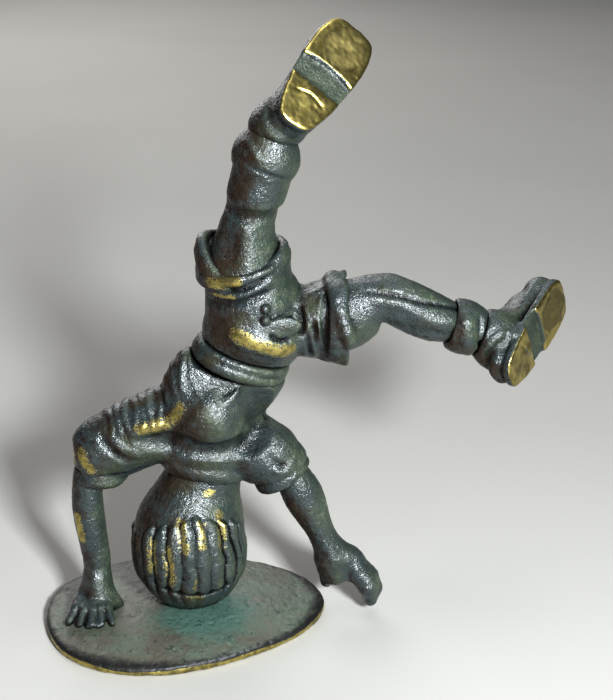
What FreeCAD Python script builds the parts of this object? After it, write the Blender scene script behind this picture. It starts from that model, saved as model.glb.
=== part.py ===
import FreeCAD, Part
import math
import os

# Small cast statuette: a child turning a cartwheel, head down, on an oval plate.
# It is modelled as the separate castings it is brazed from, and the dowels that locate them.
#
# Row frame in millimetres: +Z up, origin at the centre of the plate's underside,
# +X along the plate's long axis towards the outstretched leg, -Y the side the back faces.
# "Right" and "left" are the child's own, so the right hand stands on the plate.

V = FreeCAD.Vector

# ---- driving dimensions -------------------------------------------------------------------

PLATE_HALF_LENGTH = 17.0
PLATE_HALF_WIDTH = 12.8
PLATE_RIM_HEIGHT = 0.9
PLATE_HEIGHT = 2.8
PLATE_LOBE = 0.05        # share of the radius by which the oval is blunt at one end
PLATE_LOBES = 3
PLATE_POINTS = 24
DOME_REACH = 1.06        # the dome's half axes over the plate's, so that its edge stays steep

DOWEL_RADIUS = 0.75
BRAZE_GAP = 0.03         # radial room for the brazing alloy around each dowel
SOCKET_GAP = 0.02        # the same between a limb's root and the socket it enters

EAR_SPREAD = 6.0
EAR_HEIGHT = 2.9
NOSE_LENGTH = 2.6

CUFF_WALL = 0.8          # thickness of the cloth lip round each limb

SHOE_LENGTH = 14.8
SHOE_HALF_WIDTH = 3.9
HEEL_LENGTH = 5.6
HEEL_HALF_WIDTH = 2.8
SOLE_THICKNESS = 1.0
SOLE_WELT = 0.3          # how far the sole stands out round the upper
WAIST_RECESS = 0.45      # depth of the hollow between heel and forefoot
WAIST_LENGTH = 2.9
WAIST_ARC = 12.0          # radius of the edge of the forefoot, which curves towards the toe

WAISTBAND_HEIGHT = 2.3
BUTTON_RADIUS = 0.65

SOLE_POINTS = 16
SOLE_BLUNTNESS = 0.45    # below one squares off the heel and toe ends

# ---- skeleton: where the child's joints lie --------------------------------------------------

CROWN = V(1.2, -0.3, 2.6)
HEAD_CENTRE = V(1.4, -0.2, 9.7)
NECK = V(3.0, 0.2, 17.6)
COLLAR = V(3.9, 0.2, 19.9)
CHEST = V(4.6, 0.2, 23.6)
WAIST = V(8.0, -0.9, 34.4)
PELVIS = V(9.9, -1.3, 38.6)

RIGHT_SHOULDER = V(-1.9, 0.7, 25.4)
RIGHT_ELBOW = V(-8.6, 1.2, 22.8)
RIGHT_CUFF = V(-8.9, 1.2, 18.8)
RIGHT_FOREARM = V(-10.3, 1.1, 18.6)
RIGHT_WRIST = V(-9.8, 0.6, 6.2)
RIGHT_PALM = V(-10.7, -0.6, 3.5)

LEFT_SHOULDER = V(9.2, -0.7, 22.3)
LEFT_ELBOW = V(11.3, -1.2, 21.7)
LEFT_CUFF = V(12.9, -1.6, 18.7)
LEFT_FOREARM = V(14.1, -1.9, 18.2)
LEFT_WRIST = V(18.2, -2.5, 9.0)
LEFT_PALM = V(19.6, -2.7, 6.7)

RIGHT_LEG_CUFF = V(8.3, -1.4, 46.3)
RIGHT_KNEE = V(8.9, -2.0, 51.2)
RIGHT_ANKLE = V(10.5, -2.3, 56.8)
RIGHT_SOLE = V(17.2, -3.0, 67.1)
RIGHT_TOEWARD = V(0.59, 0.61, 0.53)
RIGHT_SOLE_NORMAL = V(0.28, -0.77, 0.56)

LEFT_LEG_CUFF = V(20.0, -2.8, 38.8)
LEFT_KNEE = V(23.7, -3.5, 41.2)
LEFT_ANKLE = V(31.8, -4.6, 38.3)
LEFT_SOLE = V(41.8, -5.5, 36.5)
LEFT_TOEWARD = V(0.62, 0.67, 0.42)
LEFT_SOLE_NORMAL = V(0.72, -0.69, 0.04)

RIGHT_FINGER_TIPS = [V(-13.6, -3.3, 2.3), V(-12.4, -3.9, 2.4), V(-11.2, -4.6, 2.4), V(-10.1, -4.7, 2.4)]
BUTTONS = [V(10.0, -6.0, 41.2), V(10.4, -6.1, 39.7)]

ACROSS = V(1, 0, 0)
AWAY = V(0, 1, 0)
UP = V(0, 0, 1)


# ---- shape helpers ------------------------------------------------------------------------

def unit(vector):
    """The same direction with length one."""
    copy = V(vector)
    copy.normalize()
    return copy


def between(a, b, share):
    """The point that lies the given share of the way from a to b."""
    return a + (b - a) * share


def square_to(vector, normal):
    """The part of vector at right angles to normal, as a direction."""
    n = unit(normal)
    return unit(vector - n * vector.dot(n))


def ring_points(centre, normal, across, half_width, half_depth, count=12):
    """Points round an oval, all starting on the across side."""
    x_axis = square_to(across, normal)
    y_axis = unit(normal).cross(x_axis)
    turns = [2 * math.pi * i / count for i in range(count)]
    return [centre + x_axis * (half_width * math.cos(t)) + y_axis * (half_depth * math.sin(t))
            for t in turns]


def closed_curve(points):
    """Smooth closed wire through the points."""
    curve = Part.BSplineCurve()
    curve.interpolate(points, PeriodicFlag=True)
    return Part.Wire(curve.toShape())


def limb(stations, across):
    """Solid through oval sections. Each station is (centre, half width along across, half depth)."""
    centres = [station[0] for station in stations]
    wires = []
    for i, (centre, half_width, half_depth) in enumerate(stations):
        before = centres[max(i - 1, 0)]
        after = centres[min(i + 1, len(centres) - 1)]
        points = ring_points(centre, after - before, across, half_width, half_depth)
        wires.append(closed_curve(points))
    return Part.makeLoft(wires, True, False)


def ellipsoid(centre, x_radius, y_radius, z_radius, x_axis=ACROSS, z_axis=UP):
    """Solid ellipsoid with its radii along x_axis, the third direction, and z_axis."""
    z_dir = unit(z_axis)
    x_dir = square_to(x_axis, z_dir)
    y_dir = z_dir.cross(x_dir)
    stretch = FreeCAD.Matrix(
        x_dir.x * x_radius, y_dir.x * y_radius, z_dir.x * z_radius, centre.x,
        x_dir.y * x_radius, y_dir.y * y_radius, z_dir.y * z_radius, centre.y,
        x_dir.z * x_radius, y_dir.z * y_radius, z_dir.z * z_radius, centre.z,
        0, 0, 0, 1)
    return Part.makeSphere(1.0).transformGeometry(stretch)


def rod(start, end, radius):
    """Round bar from start to end."""
    return Part.makeCylinder(radius, (end - start).Length, start, end - start)


def finger(points, root_radius, tip_radius):
    """Tapered finger through the points, rounded off past the last one."""
    last = len(points) - 1
    stations = []
    for i, point in enumerate(points):
        radius = root_radius + (tip_radius - root_radius) * i / last
        stations.append((point, radius, radius))
    ahead = unit(points[-1] - points[-2])
    for reach, share in ((0.55, 0.8), (0.85, 0.45)):
        radius = tip_radius * share
        stations.append((points[-1] + ahead * (tip_radius * reach), radius, radius))
    return limb(stations, ACROSS)


def beyond(point, normal):
    """Large block that fills the space on the side of the point that normal leads to."""
    size = 60.0
    block = Part.makeBox(size, size, size)
    turn = FreeCAD.Rotation(UP, unit(normal))
    block.Placement = FreeCAD.Placement(point + turn.multVec(V(-size / 2, -size / 2, 0)), turn)
    return block


def join(first, *others):
    """One solid out of shapes that overlap."""
    whole = first
    for other in others:
        whole = whole.fuse(other)
    return whole


# Directions along which neighbouring castings meet in a flat joint.

WAIST_AXIS = unit(PELVIS - CHEST)
RIGHT_COLLAR = RIGHT_ANKLE + V(1.5, -0.2, 4.0)
RIGHT_COLLAR_AXIS = unit(V(0.35, 0.0, 0.94))
LEFT_COLLAR = LEFT_ANKLE + V(3.1, -0.5, -1.2)
LEFT_COLLAR_AXIS = unit(V(0.92, -0.15, -0.35))


# ---- dowels --------------------------------------------------------------------------------

DOWEL_ENDS = {
    "crown_dowel": (CROWN + V(0, 0, -2.3), CROWN + V(0, 0, 4.0)),
    "hand_dowel": (V(-10.2, -0.1, 0.3), V(-10.2, -0.1, 4.6)),
    "neck_dowel": (between(HEAD_CENTRE, COLLAR, 0.5), between(COLLAR, CHEST, 0.7)),
    "right_elbow_dowel": (between(RIGHT_FOREARM, RIGHT_WRIST, 0.25), RIGHT_FOREARM + V(0.3, 0, 4.6)),
    "left_elbow_dowel": (between(LEFT_FOREARM, LEFT_WRIST, 0.28), LEFT_FOREARM + V(-2.0, 0.5, 4.2)),
    "waist_dowel": (between(WAIST, CHEST, 0.35), between(WAIST, PELVIS, 0.9)),
    "right_thigh_dowel": (between(RIGHT_LEG_CUFF, PELVIS, 0.55), between(RIGHT_LEG_CUFF, RIGHT_KNEE, 0.7)),
    "left_thigh_dowel": (between(LEFT_LEG_CUFF, PELVIS, 0.5), between(LEFT_LEG_CUFF, LEFT_KNEE, 0.7)),
    "right_ankle_dowel": (between(RIGHT_ANKLE, RIGHT_KNEE, 0.5), RIGHT_ANKLE + V(1.3, -0.2, 4.6)),
    "left_ankle_dowel": (between(LEFT_ANKLE, LEFT_KNEE, 0.35), LEFT_ANKLE + V(5.2, -0.7, -1.6)),
}


# Castings that each dowel enters.
DOWELLED = {
    "crown_dowel": ("base_plate", "head"),
    "hand_dowel": ("base_plate", "right_forearm"),
    "neck_dowel": ("head", "torso"),
    "right_elbow_dowel": ("right_forearm", "torso"),
    "left_elbow_dowel": ("left_forearm", "torso"),
    "waist_dowel": ("torso", "waistband", "shorts"),
    "right_thigh_dowel": ("shorts", "right_leg"),
    "left_thigh_dowel": ("shorts", "left_leg"),
    "right_ankle_dowel": ("right_leg", "right_sock", "right_shoe"),
    "left_ankle_dowel": ("left_leg", "left_sock", "left_shoe"),
}


def dowel(name):
    """The round bar itself."""
    start, end = DOWEL_ENDS[name]
    return rod(start, end, DOWEL_RADIUS)


def bore(name):
    """The blind hole that the bar sits in, with room for the brazing alloy."""
    start, end = DOWEL_ENDS[name]
    reach = unit(end - start) * BRAZE_GAP
    return rod(start - reach, end + reach, DOWEL_RADIUS + BRAZE_GAP)


# ---- castings -------------------------------------------------------------------------------

def plate_outline(height):
    """The plate's blunt oval at one height."""
    points = []
    for i in range(PLATE_POINTS):
        turn = 2 * math.pi * i / PLATE_POINTS
        reach = 1 + PLATE_LOBE * math.cos(PLATE_LOBES * turn)
        points.append(V(PLATE_HALF_LENGTH * reach * math.cos(turn),
                        PLATE_HALF_WIDTH * reach * math.sin(turn), height))
    return closed_curve(points)


def base_plate():
    """Oval plate with a ground underside, a thin rim and a low domed top."""
    slab = Part.Face(plate_outline(0)).extrude(V(0, 0, PLATE_HEIGHT))
    edge_drop = math.sqrt(1 - 1 / DOME_REACH ** 2)
    dome_half = (PLATE_HEIGHT - PLATE_RIM_HEIGHT) / (1 - edge_drop)
    dome = ellipsoid(V(0, 0, PLATE_HEIGHT - dome_half),
                     PLATE_HALF_LENGTH * DOME_REACH * (1 + PLATE_LOBE),
                     PLATE_HALF_WIDTH * DOME_REACH * (1 + PLATE_LOBE), dome_half)
    return slab.common(dome)


# Sections of every casting that enters another, from the ground or the foot upwards, and the
# direction their half widths lie along. The first or last few sections are the root in its socket.

SECTIONS = {
    "head": (ACROSS, [
        (HEAD_CENTRE + V(-0.2, 0, -7.2), 0.8, 0.8),
        (HEAD_CENTRE + V(-0.2, 0, -6.7), 2.8, 2.9),
        (HEAD_CENTRE + V(-0.1, 0, -5.4), 4.6, 4.8),
        (HEAD_CENTRE + V(0, 0, -2.9), 6.1, 6.4),
        (HEAD_CENTRE, 6.6, 6.8),
        (HEAD_CENTRE + V(0.1, 0, 3.6), 6.3, 6.3),
        (between(HEAD_CENTRE, NECK, 0.75), 5.7, 5.3),
        (NECK, 4.9, 4.3),
        (COLLAR, 4.3, 3.8),
        (COLLAR + V(0.1, 0, 1.4), 3.4, 3.0)]),
    "right_forearm": (ACROSS, [
        (RIGHT_PALM + V(0.3, 0.8, 0.4), 2.1, 1.3),
        (RIGHT_WRIST, 1.7, 1.4),
        (between(RIGHT_FOREARM, RIGHT_WRIST, 0.7) + V(0.1, 0, 0), 1.7, 1.6),
        (between(RIGHT_FOREARM, RIGHT_WRIST, 0.35) + V(-0.2, 0, 0), 1.85, 1.8),
        (RIGHT_FOREARM, 1.8, 1.8),
        (RIGHT_FOREARM + V(0.2, 0, 2.2), 1.6, 1.6)]),
    "left_forearm": (ACROSS, [
        (LEFT_PALM + V(0.9, -0.2, -1.3), 2.2, 1.8),
        (LEFT_PALM, 2.7, 2.1),
        (LEFT_WRIST, 2.0, 1.8),
        (between(LEFT_FOREARM, LEFT_WRIST, 0.45), 2.1, 2.0),
        (LEFT_FOREARM, 2.25, 2.2),
        (LEFT_FOREARM + V(-1.0, 0.2, 2.2), 1.9, 1.9)]),
    "right_leg": (ACROSS, [
        (between(RIGHT_LEG_CUFF, PELVIS, 0.3), 3.0, 3.0),
        (RIGHT_LEG_CUFF, 3.6, 3.5),
        (between(RIGHT_LEG_CUFF, RIGHT_KNEE, 0.4), 3.3, 3.2),
        (RIGHT_KNEE, 2.65, 2.7),
        (between(RIGHT_KNEE, RIGHT_ANKLE, 0.45), 3.2, 3.2),
        (RIGHT_ANKLE, 2.7, 2.7),
        (RIGHT_ANKLE + V(0.3, 0, 1.3), 2.2, 2.2)]),
    "left_leg": (UP, [
        (between(LEFT_LEG_CUFF, PELVIS, 0.25) + V(0, 0, 0.4), 3.2, 3.0),
        (LEFT_LEG_CUFF + V(0.2, 0, 0.8), 4.1, 3.6),
        (between(LEFT_LEG_CUFF, LEFT_KNEE, 0.3) + V(0, 0, 0.6), 3.8, 3.3),
        (LEFT_KNEE + V(0, 0, 0.2), 2.6, 2.6),
        (between(LEFT_KNEE, LEFT_ANKLE, 0.5) + V(0.1, -0.1, 0.1), 2.9, 2.9),
        (LEFT_ANKLE, 2.3, 2.4),
        (LEFT_ANKLE + V(1.2, -0.2, -0.4), 1.9, 1.9)]),
}


def plug(name):
    """The casting's body without hands or features."""
    across, sections = SECTIONS[name]
    return limb(sections, across)


def socket(name):
    """The same body a little larger all round: the space it needs in its neighbours."""
    across, sections = SECTIONS[name]
    wider = [(centre, half_width + SOCKET_GAP, half_depth + SOCKET_GAP)
             for centre, half_width, half_depth in sections]
    for end, inner in ((0, 1), (-1, -2)):
        outward = unit(sections[end][0] - sections[inner][0])
        wider[end] = (wider[end][0] + outward * SOCKET_GAP, *wider[end][1:])
    return limb(wider, across)


def head():
    """Skull under a cap of hair, with face, ears and the thick short neck."""
    face = ellipsoid(HEAD_CENTRE + V(0, 2.6, 1.8), 4.6, 4.6, 5.4)
    nose = ellipsoid(HEAD_CENTRE + V(0, 7.0, 1.7), 0.9, 1.1, NOSE_LENGTH / 2)
    ears = [ellipsoid(HEAD_CENTRE + V(side * EAR_SPREAD, 1.9, 1.6), 0.9, 1.3, EAR_HEIGHT / 2)
            for side in (-1, 1)]
    return join(plug("head"), face, nose, *ears)


def torso():
    """Shirt from waist to collar with both short, wide sleeves."""
    trunk = limb([(V(8.8, -1.0, 36.0), 5.0, 3.8),
                  (V(6.9, -0.7, 32.2), 6.1, 3.9),
                  (V(4.9, -0.3, 29.6), 6.3, 4.3),
                  (V(4.4, 0.0, 26.8), 6.2, 4.7),
                  (V(4.2, 0.1, 23.8), 6.3, 4.6),
                  (V(4.0, 0.2, 21.4), 5.8, 4.3),
                  (COLLAR + V(0, 0, -0.6), 5.1, 4.4)], ACROSS)
    right_sleeve = limb([(V(1.6, 0.4, 26.2), 4.6, 3.8),
                         (RIGHT_SHOULDER, 4.4, 3.7),
                         (between(RIGHT_SHOULDER, RIGHT_ELBOW, 0.6), 4.2, 3.6),
                         (RIGHT_ELBOW, 3.9, 3.4),
                         (RIGHT_ELBOW + V(-2.0, 0.1, -0.4), 3.1, 2.8),
                         (RIGHT_ELBOW + V(-3.0, 0.1, -0.5), 2.0, 1.8)], UP)
    right_lip = limb([(RIGHT_ELBOW + V(0.2, 0, 1.5), 2.4, 2.5),
                      (RIGHT_ELBOW + V(0, 0, -1.5), 3.2, 3.2),
                      (RIGHT_CUFF, 2.9, 2.9)], ACROSS)
    left_sleeve = limb([(V(6.4, -0.2, 22.8), 4.1, 3.9),
                        (LEFT_SHOULDER, 4.0, 3.8),
                        (LEFT_ELBOW, 3.9, 3.7),
                        (LEFT_ELBOW + V(1.9, -0.3, -0.2), 3.1, 2.9),
                        (LEFT_ELBOW + V(2.9, -0.4, -0.3), 1.9, 1.8)], UP)
    left_lip = limb([(LEFT_ELBOW + V(-0.4, 0.1, 1.2), 2.8, 2.8),
                     (between(LEFT_ELBOW, LEFT_CUFF, 0.5), 3.7, 3.6),
                     (LEFT_CUFF, 3.4, 3.3)], ACROSS)
    shirt = join(trunk, right_sleeve, right_lip, left_sleeve, left_lip)
    shirt = shirt.cut(beyond(waist_plane(-0.5 - SOCKET_GAP), WAIST_AXIS))
    for name in ("head", "right_forearm", "left_forearm"):
        shirt = shirt.cut(socket(name))
    return shirt


def waist_plane(share):
    """Point on the body's axis that lies the given share of the band's height above its middle."""
    return WAIST + WAIST_AXIS * (WAISTBAND_HEIGHT * share)


def waistband():
    """Rolled band between shirt and shorts."""
    return limb([(waist_plane(-0.5), 5.0, 4.1),
                 (waist_plane(-0.25), 5.6, 4.7),
                 (waist_plane(0.25), 5.7, 4.8),
                 (waist_plane(0.5), 5.3, 4.3)], ACROSS)


def shorts():
    """Seat and both trouser legs, each ending in a flared, open cuff."""
    hips = limb([(waist_plane(0.2), 5.2, 4.2),
                 (between(WAIST, PELVIS, 0.7), 5.9, 5.0),
                 (PELVIS + V(0, 0, 2.6), 5.4, 4.8),
                 (PELVIS + V(0, 0, 5.4), 4.2, 4.0)], ACROSS)
    right_leg = limb([(PELVIS + V(-0.4, 0, -1.0), 4.7, 4.4),
                      (between(PELVIS, RIGHT_LEG_CUFF, 0.5), 5.2, 4.9),
                      (between(PELVIS, RIGHT_LEG_CUFF, 0.85), 5.0, 4.7),
                      (RIGHT_LEG_CUFF, 5.4, 5.1)], ACROSS)
    left_leg = limb([(PELVIS + V(0, 0, 0), 4.2, 4.1),
                     (between(PELVIS, LEFT_LEG_CUFF, 0.5), 4.1, 4.2),
                     (between(PELVIS, LEFT_LEG_CUFF, 0.8), 5.0, 4.6),
                     (LEFT_LEG_CUFF, 6.0, 5.2)], UP)
    seat = ellipsoid(PELVIS + V(0.2, -1.8, -0.2), 5.2, 4.0, 4.2)
    buttons = [ellipsoid(place, BUTTON_RADIUS, BUTTON_RADIUS, BUTTON_RADIUS) for place in BUTTONS]
    cloth = join(hips, right_leg, left_leg, seat, *buttons)
    cloth = cloth.cut(beyond(waist_plane(0.5 + SOCKET_GAP), -WAIST_AXIS))
    right_mouth = limb([(between(RIGHT_LEG_CUFF, RIGHT_KNEE, 0.02), 5.4 - CUFF_WALL, 5.1 - CUFF_WALL),
                        (between(RIGHT_LEG_CUFF, PELVIS, 0.16), 3.4, 3.3)], ACROSS)
    left_mouth = limb([(between(LEFT_LEG_CUFF, LEFT_KNEE, 0.02), 6.0 - CUFF_WALL, 5.2 - CUFF_WALL),
                       (between(LEFT_LEG_CUFF, PELVIS, 0.12), 3.8, 3.4)], UP)
    for hole in (socket("right_leg"), socket("left_leg"), right_mouth, left_mouth):
        cloth = cloth.cut(hole)
    return cloth


def right_forearm():
    """Bare arm from the sleeve down to a hand spread flat on the plate."""
    palm = ellipsoid(RIGHT_PALM + V(0, 0.1, -0.4), 2.4, 2.1, 1.1)
    fingers = []
    for i, tip in enumerate(RIGHT_FINGER_TIPS):
        root = RIGHT_PALM + V(-1.4 + i * 0.95, -0.4, -0.2)
        fingers.append(finger([root, between(root, tip, 0.5) + V(0, 0, 0.2), tip], 0.65, 0.5))
    thumb = finger([RIGHT_PALM + V(1.4, 0.6, -0.3), V(-9.0, -2.4, 2.9), V(-8.7, -3.8, 2.5)], 0.7, 0.5)
    return join(plug("right_forearm"), palm, *fingers, thumb)


def left_forearm():
    """Bare arm reaching past the plate's edge to a hand curled just clear of the ground."""
    fingers = []
    for i in range(4):
        depth = V(0, 1.4 - 1.0 * i, 0)
        fingers.append(finger([LEFT_PALM + V(1.0, 0, -0.6) + depth * 0.9,
                               V(22.4, -2.8, 4.4) + depth,
                               V(23.0, -2.8, 1.9 + 0.15 * i) + depth * 0.8], 1.2, 0.85))
    thumb = finger([LEFT_PALM + V(-1.1, 0.5, -0.3), V(18.0, -1.6, 5.0), V(17.9, -1.4, 3.8)], 1.0, 0.75)
    return join(plug("left_forearm"), *fingers, thumb)


def right_sock():
    """Sock slipped down into a thick roll above the shoe."""
    roll = limb([(RIGHT_ANKLE + V(-0.2, 0, -0.5), 3.2, 3.2),
                 (RIGHT_ANKLE + V(0.0, 0, 0.2), 3.6, 3.5),
                 (RIGHT_ANKLE + V(0.5, -0.1, 1.8), 3.8, 3.6),
                 (RIGHT_ANKLE + V(1.0, -0.2, 3.2), 3.2, 3.1),
                 (RIGHT_ANKLE + V(1.6, -0.2, 4.8), 2.5, 2.5)], ACROSS)
    roll = roll.cut(beyond(RIGHT_COLLAR - RIGHT_COLLAR_AXIS * SOCKET_GAP, RIGHT_COLLAR_AXIS))
    return roll.cut(socket("right_leg"))


def left_sock():
    """Sock slipped down into a thick roll above the shoe."""
    roll = limb([(LEFT_ANKLE + V(-0.5, 0, 0.1), 2.8, 2.8),
                 (LEFT_ANKLE + V(0.3, -0.1, -0.1), 3.1, 3.1),
                 (LEFT_ANKLE + V(1.8, -0.3, -0.7), 3.1, 3.1),
                 (LEFT_ANKLE + V(4.0, -0.6, -1.5), 2.5, 2.5)], UP)
    roll = roll.cut(beyond(LEFT_COLLAR - LEFT_COLLAR_AXIS * SOCKET_GAP, LEFT_COLLAR_AXIS))
    return roll.cut(socket("left_leg"))


def sole_outline(middle, ahead, out):
    """Closed wire of the whole sole: rounded heel, blunt toe, wider at the ball of the foot."""
    side = out.cross(ahead)
    points = []
    for i in range(SOLE_POINTS):
        turn = 2 * math.pi * i / SOLE_POINTS
        share = (1 - math.cos(turn)) / 2
        wide = HEEL_HALF_WIDTH + (SHOE_HALF_WIDTH - HEEL_HALF_WIDTH) * share
        roundness = math.copysign(abs(math.sin(turn)) ** SOLE_BLUNTNESS, math.sin(turn))
        points.append(middle + ahead * (SHOE_LENGTH * (share - 0.5)) + side * (wide * roundness))
    return closed_curve(points)


def shoe(middle, toeward, normal, collar, collar_axis):
    """Shoe with its sole. middle is on the sole, and normal points out of it."""
    ahead = unit(toeward)
    out = square_to(normal, ahead)
    side = out.cross(ahead)
    half = SHOE_LENGTH / 2
    sole = Part.Face(sole_outline(middle, ahead, out)).extrude(out * -SOLE_THICKNESS)
    hollow = Part.makeBox(WAIST_LENGTH, 4 * SHOE_HALF_WIDTH, 2 * WAIST_RECESS)
    breast = middle + ahead * (HEEL_LENGTH - half) - out * WAIST_RECESS
    hollow.Placement = FreeCAD.Placement(breast - side * (2 * SHOE_HALF_WIDTH),
                                         FreeCAD.Rotation(ahead, side, out, "XYZ"))
    arc_centre = breast + ahead * (WAIST_LENGTH - WAIST_ARC)
    hollow = hollow.common(Part.makeCylinder(WAIST_ARC, 2 * WAIST_RECESS, arc_centre, out))
    upper = limb([(middle + ahead * (along - half) - out * height, wide - SOLE_WELT, tall)
                  for along, height, wide, tall in
                  ((0.4, 1.8, 1.9, 1.1), (2.0, 2.1, 2.8, 1.6), (5.5, 2.5, 3.1, 2.0),
                   (9.5, 2.1, 3.6, 1.6), (12.8, 1.8, 3.5, 1.3), (14.3, 1.6, 2.5, 0.9))], side)
    counter = middle - ahead * (half - 3.6)
    quarter = limb([(counter - out * 1.6, 1.6, 2.0),
                    (counter - out * 3.0, 2.2, 2.6),
                    (collar + collar_axis * 0.8, 2.8, 2.8),
                    (collar - collar_axis * 0.6, 2.7, 2.7)], side)
    return join(sole.cut(hollow), upper, quarter).cut(beyond(collar, -collar_axis))


def right_shoe():
    return shoe(RIGHT_SOLE, RIGHT_TOEWARD, RIGHT_SOLE_NORMAL, RIGHT_COLLAR, RIGHT_COLLAR_AXIS)


def left_shoe():
    return shoe(LEFT_SOLE, LEFT_TOEWARD, LEFT_SOLE_NORMAL, LEFT_COLLAR, LEFT_COLLAR_AXIS)


# ---- assembly --------------------------------------------------------------------------------

def build():
    """Every node by name. What stands on the plate is cut to its dome, and every casting is bored."""
    plate = base_plate()
    parts = {
        "base_plate": plate,
        "head": head().cut(plate),
        "torso": torso(),
        "waistband": waistband(),
        "shorts": shorts(),
        "right_forearm": right_forearm().cut(plate),
        "left_forearm": left_forearm(),
        "right_leg": plug("right_leg"),
        "left_leg": plug("left_leg"),
        "right_sock": right_sock(),
        "left_sock": left_sock(),
        "right_shoe": right_shoe(),
        "left_shoe": left_shoe(),
    }
    for name, castings in DOWELLED.items():
        for casting in castings:
            parts[casting] = parts[casting].cut(bore(name))
        parts[name] = dowel(name)
    return parts


def main():
    os.makedirs("parts", exist_ok=True)
    for name, shape in build().items():
        print(name, shape.isValid(), len(shape.Solids), round(shape.Volume, 1))
        shape.exportStep(f"parts/{name}.step")


main()
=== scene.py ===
import math

import bpy
import numpy as np
from mathutils import Matrix, Vector
from mathutils.bvhtree import BVHTree


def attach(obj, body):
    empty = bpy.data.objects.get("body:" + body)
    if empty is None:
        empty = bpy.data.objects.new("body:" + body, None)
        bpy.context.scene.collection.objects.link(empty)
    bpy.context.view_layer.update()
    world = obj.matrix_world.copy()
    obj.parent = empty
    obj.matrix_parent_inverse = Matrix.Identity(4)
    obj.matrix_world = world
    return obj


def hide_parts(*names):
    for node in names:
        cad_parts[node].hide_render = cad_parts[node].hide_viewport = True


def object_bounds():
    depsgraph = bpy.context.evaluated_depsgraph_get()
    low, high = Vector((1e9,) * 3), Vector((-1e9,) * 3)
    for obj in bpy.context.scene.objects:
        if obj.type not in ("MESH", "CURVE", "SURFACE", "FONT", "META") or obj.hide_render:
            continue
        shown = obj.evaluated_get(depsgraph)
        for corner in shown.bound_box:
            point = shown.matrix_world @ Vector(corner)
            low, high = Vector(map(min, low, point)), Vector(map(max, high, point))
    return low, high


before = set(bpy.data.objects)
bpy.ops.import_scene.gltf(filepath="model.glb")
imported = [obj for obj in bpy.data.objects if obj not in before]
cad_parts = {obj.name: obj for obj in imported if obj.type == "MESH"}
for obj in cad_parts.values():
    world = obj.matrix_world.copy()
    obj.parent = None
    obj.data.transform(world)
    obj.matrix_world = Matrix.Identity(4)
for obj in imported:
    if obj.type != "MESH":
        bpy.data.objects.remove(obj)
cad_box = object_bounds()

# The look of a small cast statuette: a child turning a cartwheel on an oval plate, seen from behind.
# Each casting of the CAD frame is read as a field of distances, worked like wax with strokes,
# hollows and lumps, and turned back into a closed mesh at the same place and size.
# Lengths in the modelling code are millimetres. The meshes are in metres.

MM = 0.001
BODY = "root"
BRONZE_SLOT = "patinated_bronze"
PLATE_SLOT = "green_patina"

# ---- driving values ----

BODY_CELL = 0.15         # cell of the distance field on the large castings
HAND_CELL = 0.11         # on the hands and the shoes
HEAD_CELL = 0.12         # on the head, which keeps it under 200,000 triangles
REFINE = 3               # fine cells to one cell measured on the CAD mesh
MARGIN = 1.2             # room round a casting for raised work
THIGH_MARGIN = 2.4       # room for the thigh, which runs on inside the trousers
CUFF_MARGIN = 3.2        # room for the right cuff, which stands above its casting
FAR = 1.5                # distances beyond this need not be exact
DOWEL_ROOM = 0.85        # radius that fills a dowel's hole
NUDGE = 0.0017           # keeps upright lines off the edges of the CAD mesh
SKIP = 0.0005            # how far a line restarts beyond a surface it has met
SQUARE = 0.98            # a near surface that faces a point this squarely tells inside from outside

GRAIN_SIZES = (0.42, 0.9)        # sand grain left by the mould
GRAIN_HEIGHTS = (0.030, 0.022)

VIEW_TURN = 9.5          # degrees the camera stands off the -Y axis, towards -X
VIEW_PITCH = 22.67       # degrees it looks down
VIEW_DISTANCE = 184.8
VIEW_RISE = -1.8         # the aim, measured from the middle of the object's box
VIEW_SHIFT = 0.34
LENS = 82.29
SENSOR = 36.0

BUTTON_HEIGHTS = (0.632, 0.546)      # shares of the trousers' box
LEFT_CUFF_AXIS = np.array([0.94, -0.13, 0.30])
RIM_HEIGHT = 0.85        # the ground band round the plate's lower edge

# The lip of the right cuff, from the back round the far side, as shares of the trousers' box
CUFF_LIP = ((0.40, 0.24, 0.90), (0.50, 0.32, 0.99), (0.545, 0.47, 1.03), (0.53, 0.66, 1.03),
            (0.43, 0.82, 1.02), (0.28, 0.88, 1.03), (0.13, 0.82, 1.06), (0.060, 0.70, 1.075),
            (0.040, 0.56, 1.055), (0.055, 0.43, 0.965), (0.105, 0.34, 0.885), (0.18, 0.29, 0.84))
CUFF_FOOT = 0.80        # height of the cuff's body, as a share of the trousers' box

KEY_COLOUR, FILL_COLOUR, SKY = (0.91, 0.96, 1.0), (1.0, 0.88, 0.75), (0.80, 0.82, 0.85, 1)
LIGHTS = {"key": ((0.50, -3.2, 1.5), 0.035, 2.1, KEY_COLOUR), "top": ((0.6, -0.2, 3.2), 0.10, 0.14),
          "fill": ((-3.5, -1.2, 1.2), 0.12, 0.04, FILL_COLOUR), "rim": ((0.5, 4.2, 3.4), 0.30, 0.30),
          "far": ((-1.2, 5.5, 2.6), 0.30, 0.8)}      # offset in object heights, size in metres, watts
SKY_STRENGTH = 0.10
EXPOSURE = 0.30
GAMMA = 0.82
FLOOR_REACH = 8.0        # metres
PALE, PALER = (0.32, 0.31, 0.29, 1), (0.36, 0.35, 0.33, 1)

SIDES = {"back": (1, -1), "front": (1, 1), "left": (0, -1), "right": (0, 1),
         "under": (2, -1), "top": (2, 1)}       # axis and end of the box that each side looks from


# ---- distance fields ----

def casting(node):
    """Search tree and vertices of a CAD node, in millimetres."""
    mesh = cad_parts[node].data
    points = np.empty(len(mesh.vertices) * 3, np.float32)
    mesh.vertices.foreach_get("co", points)
    points = points.reshape(-1, 3).astype(float) / MM
    faces = [tuple(face.vertices) for face in mesh.polygons]
    return BVHTree.FromPolygons(points.tolist(), faces), points


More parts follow.
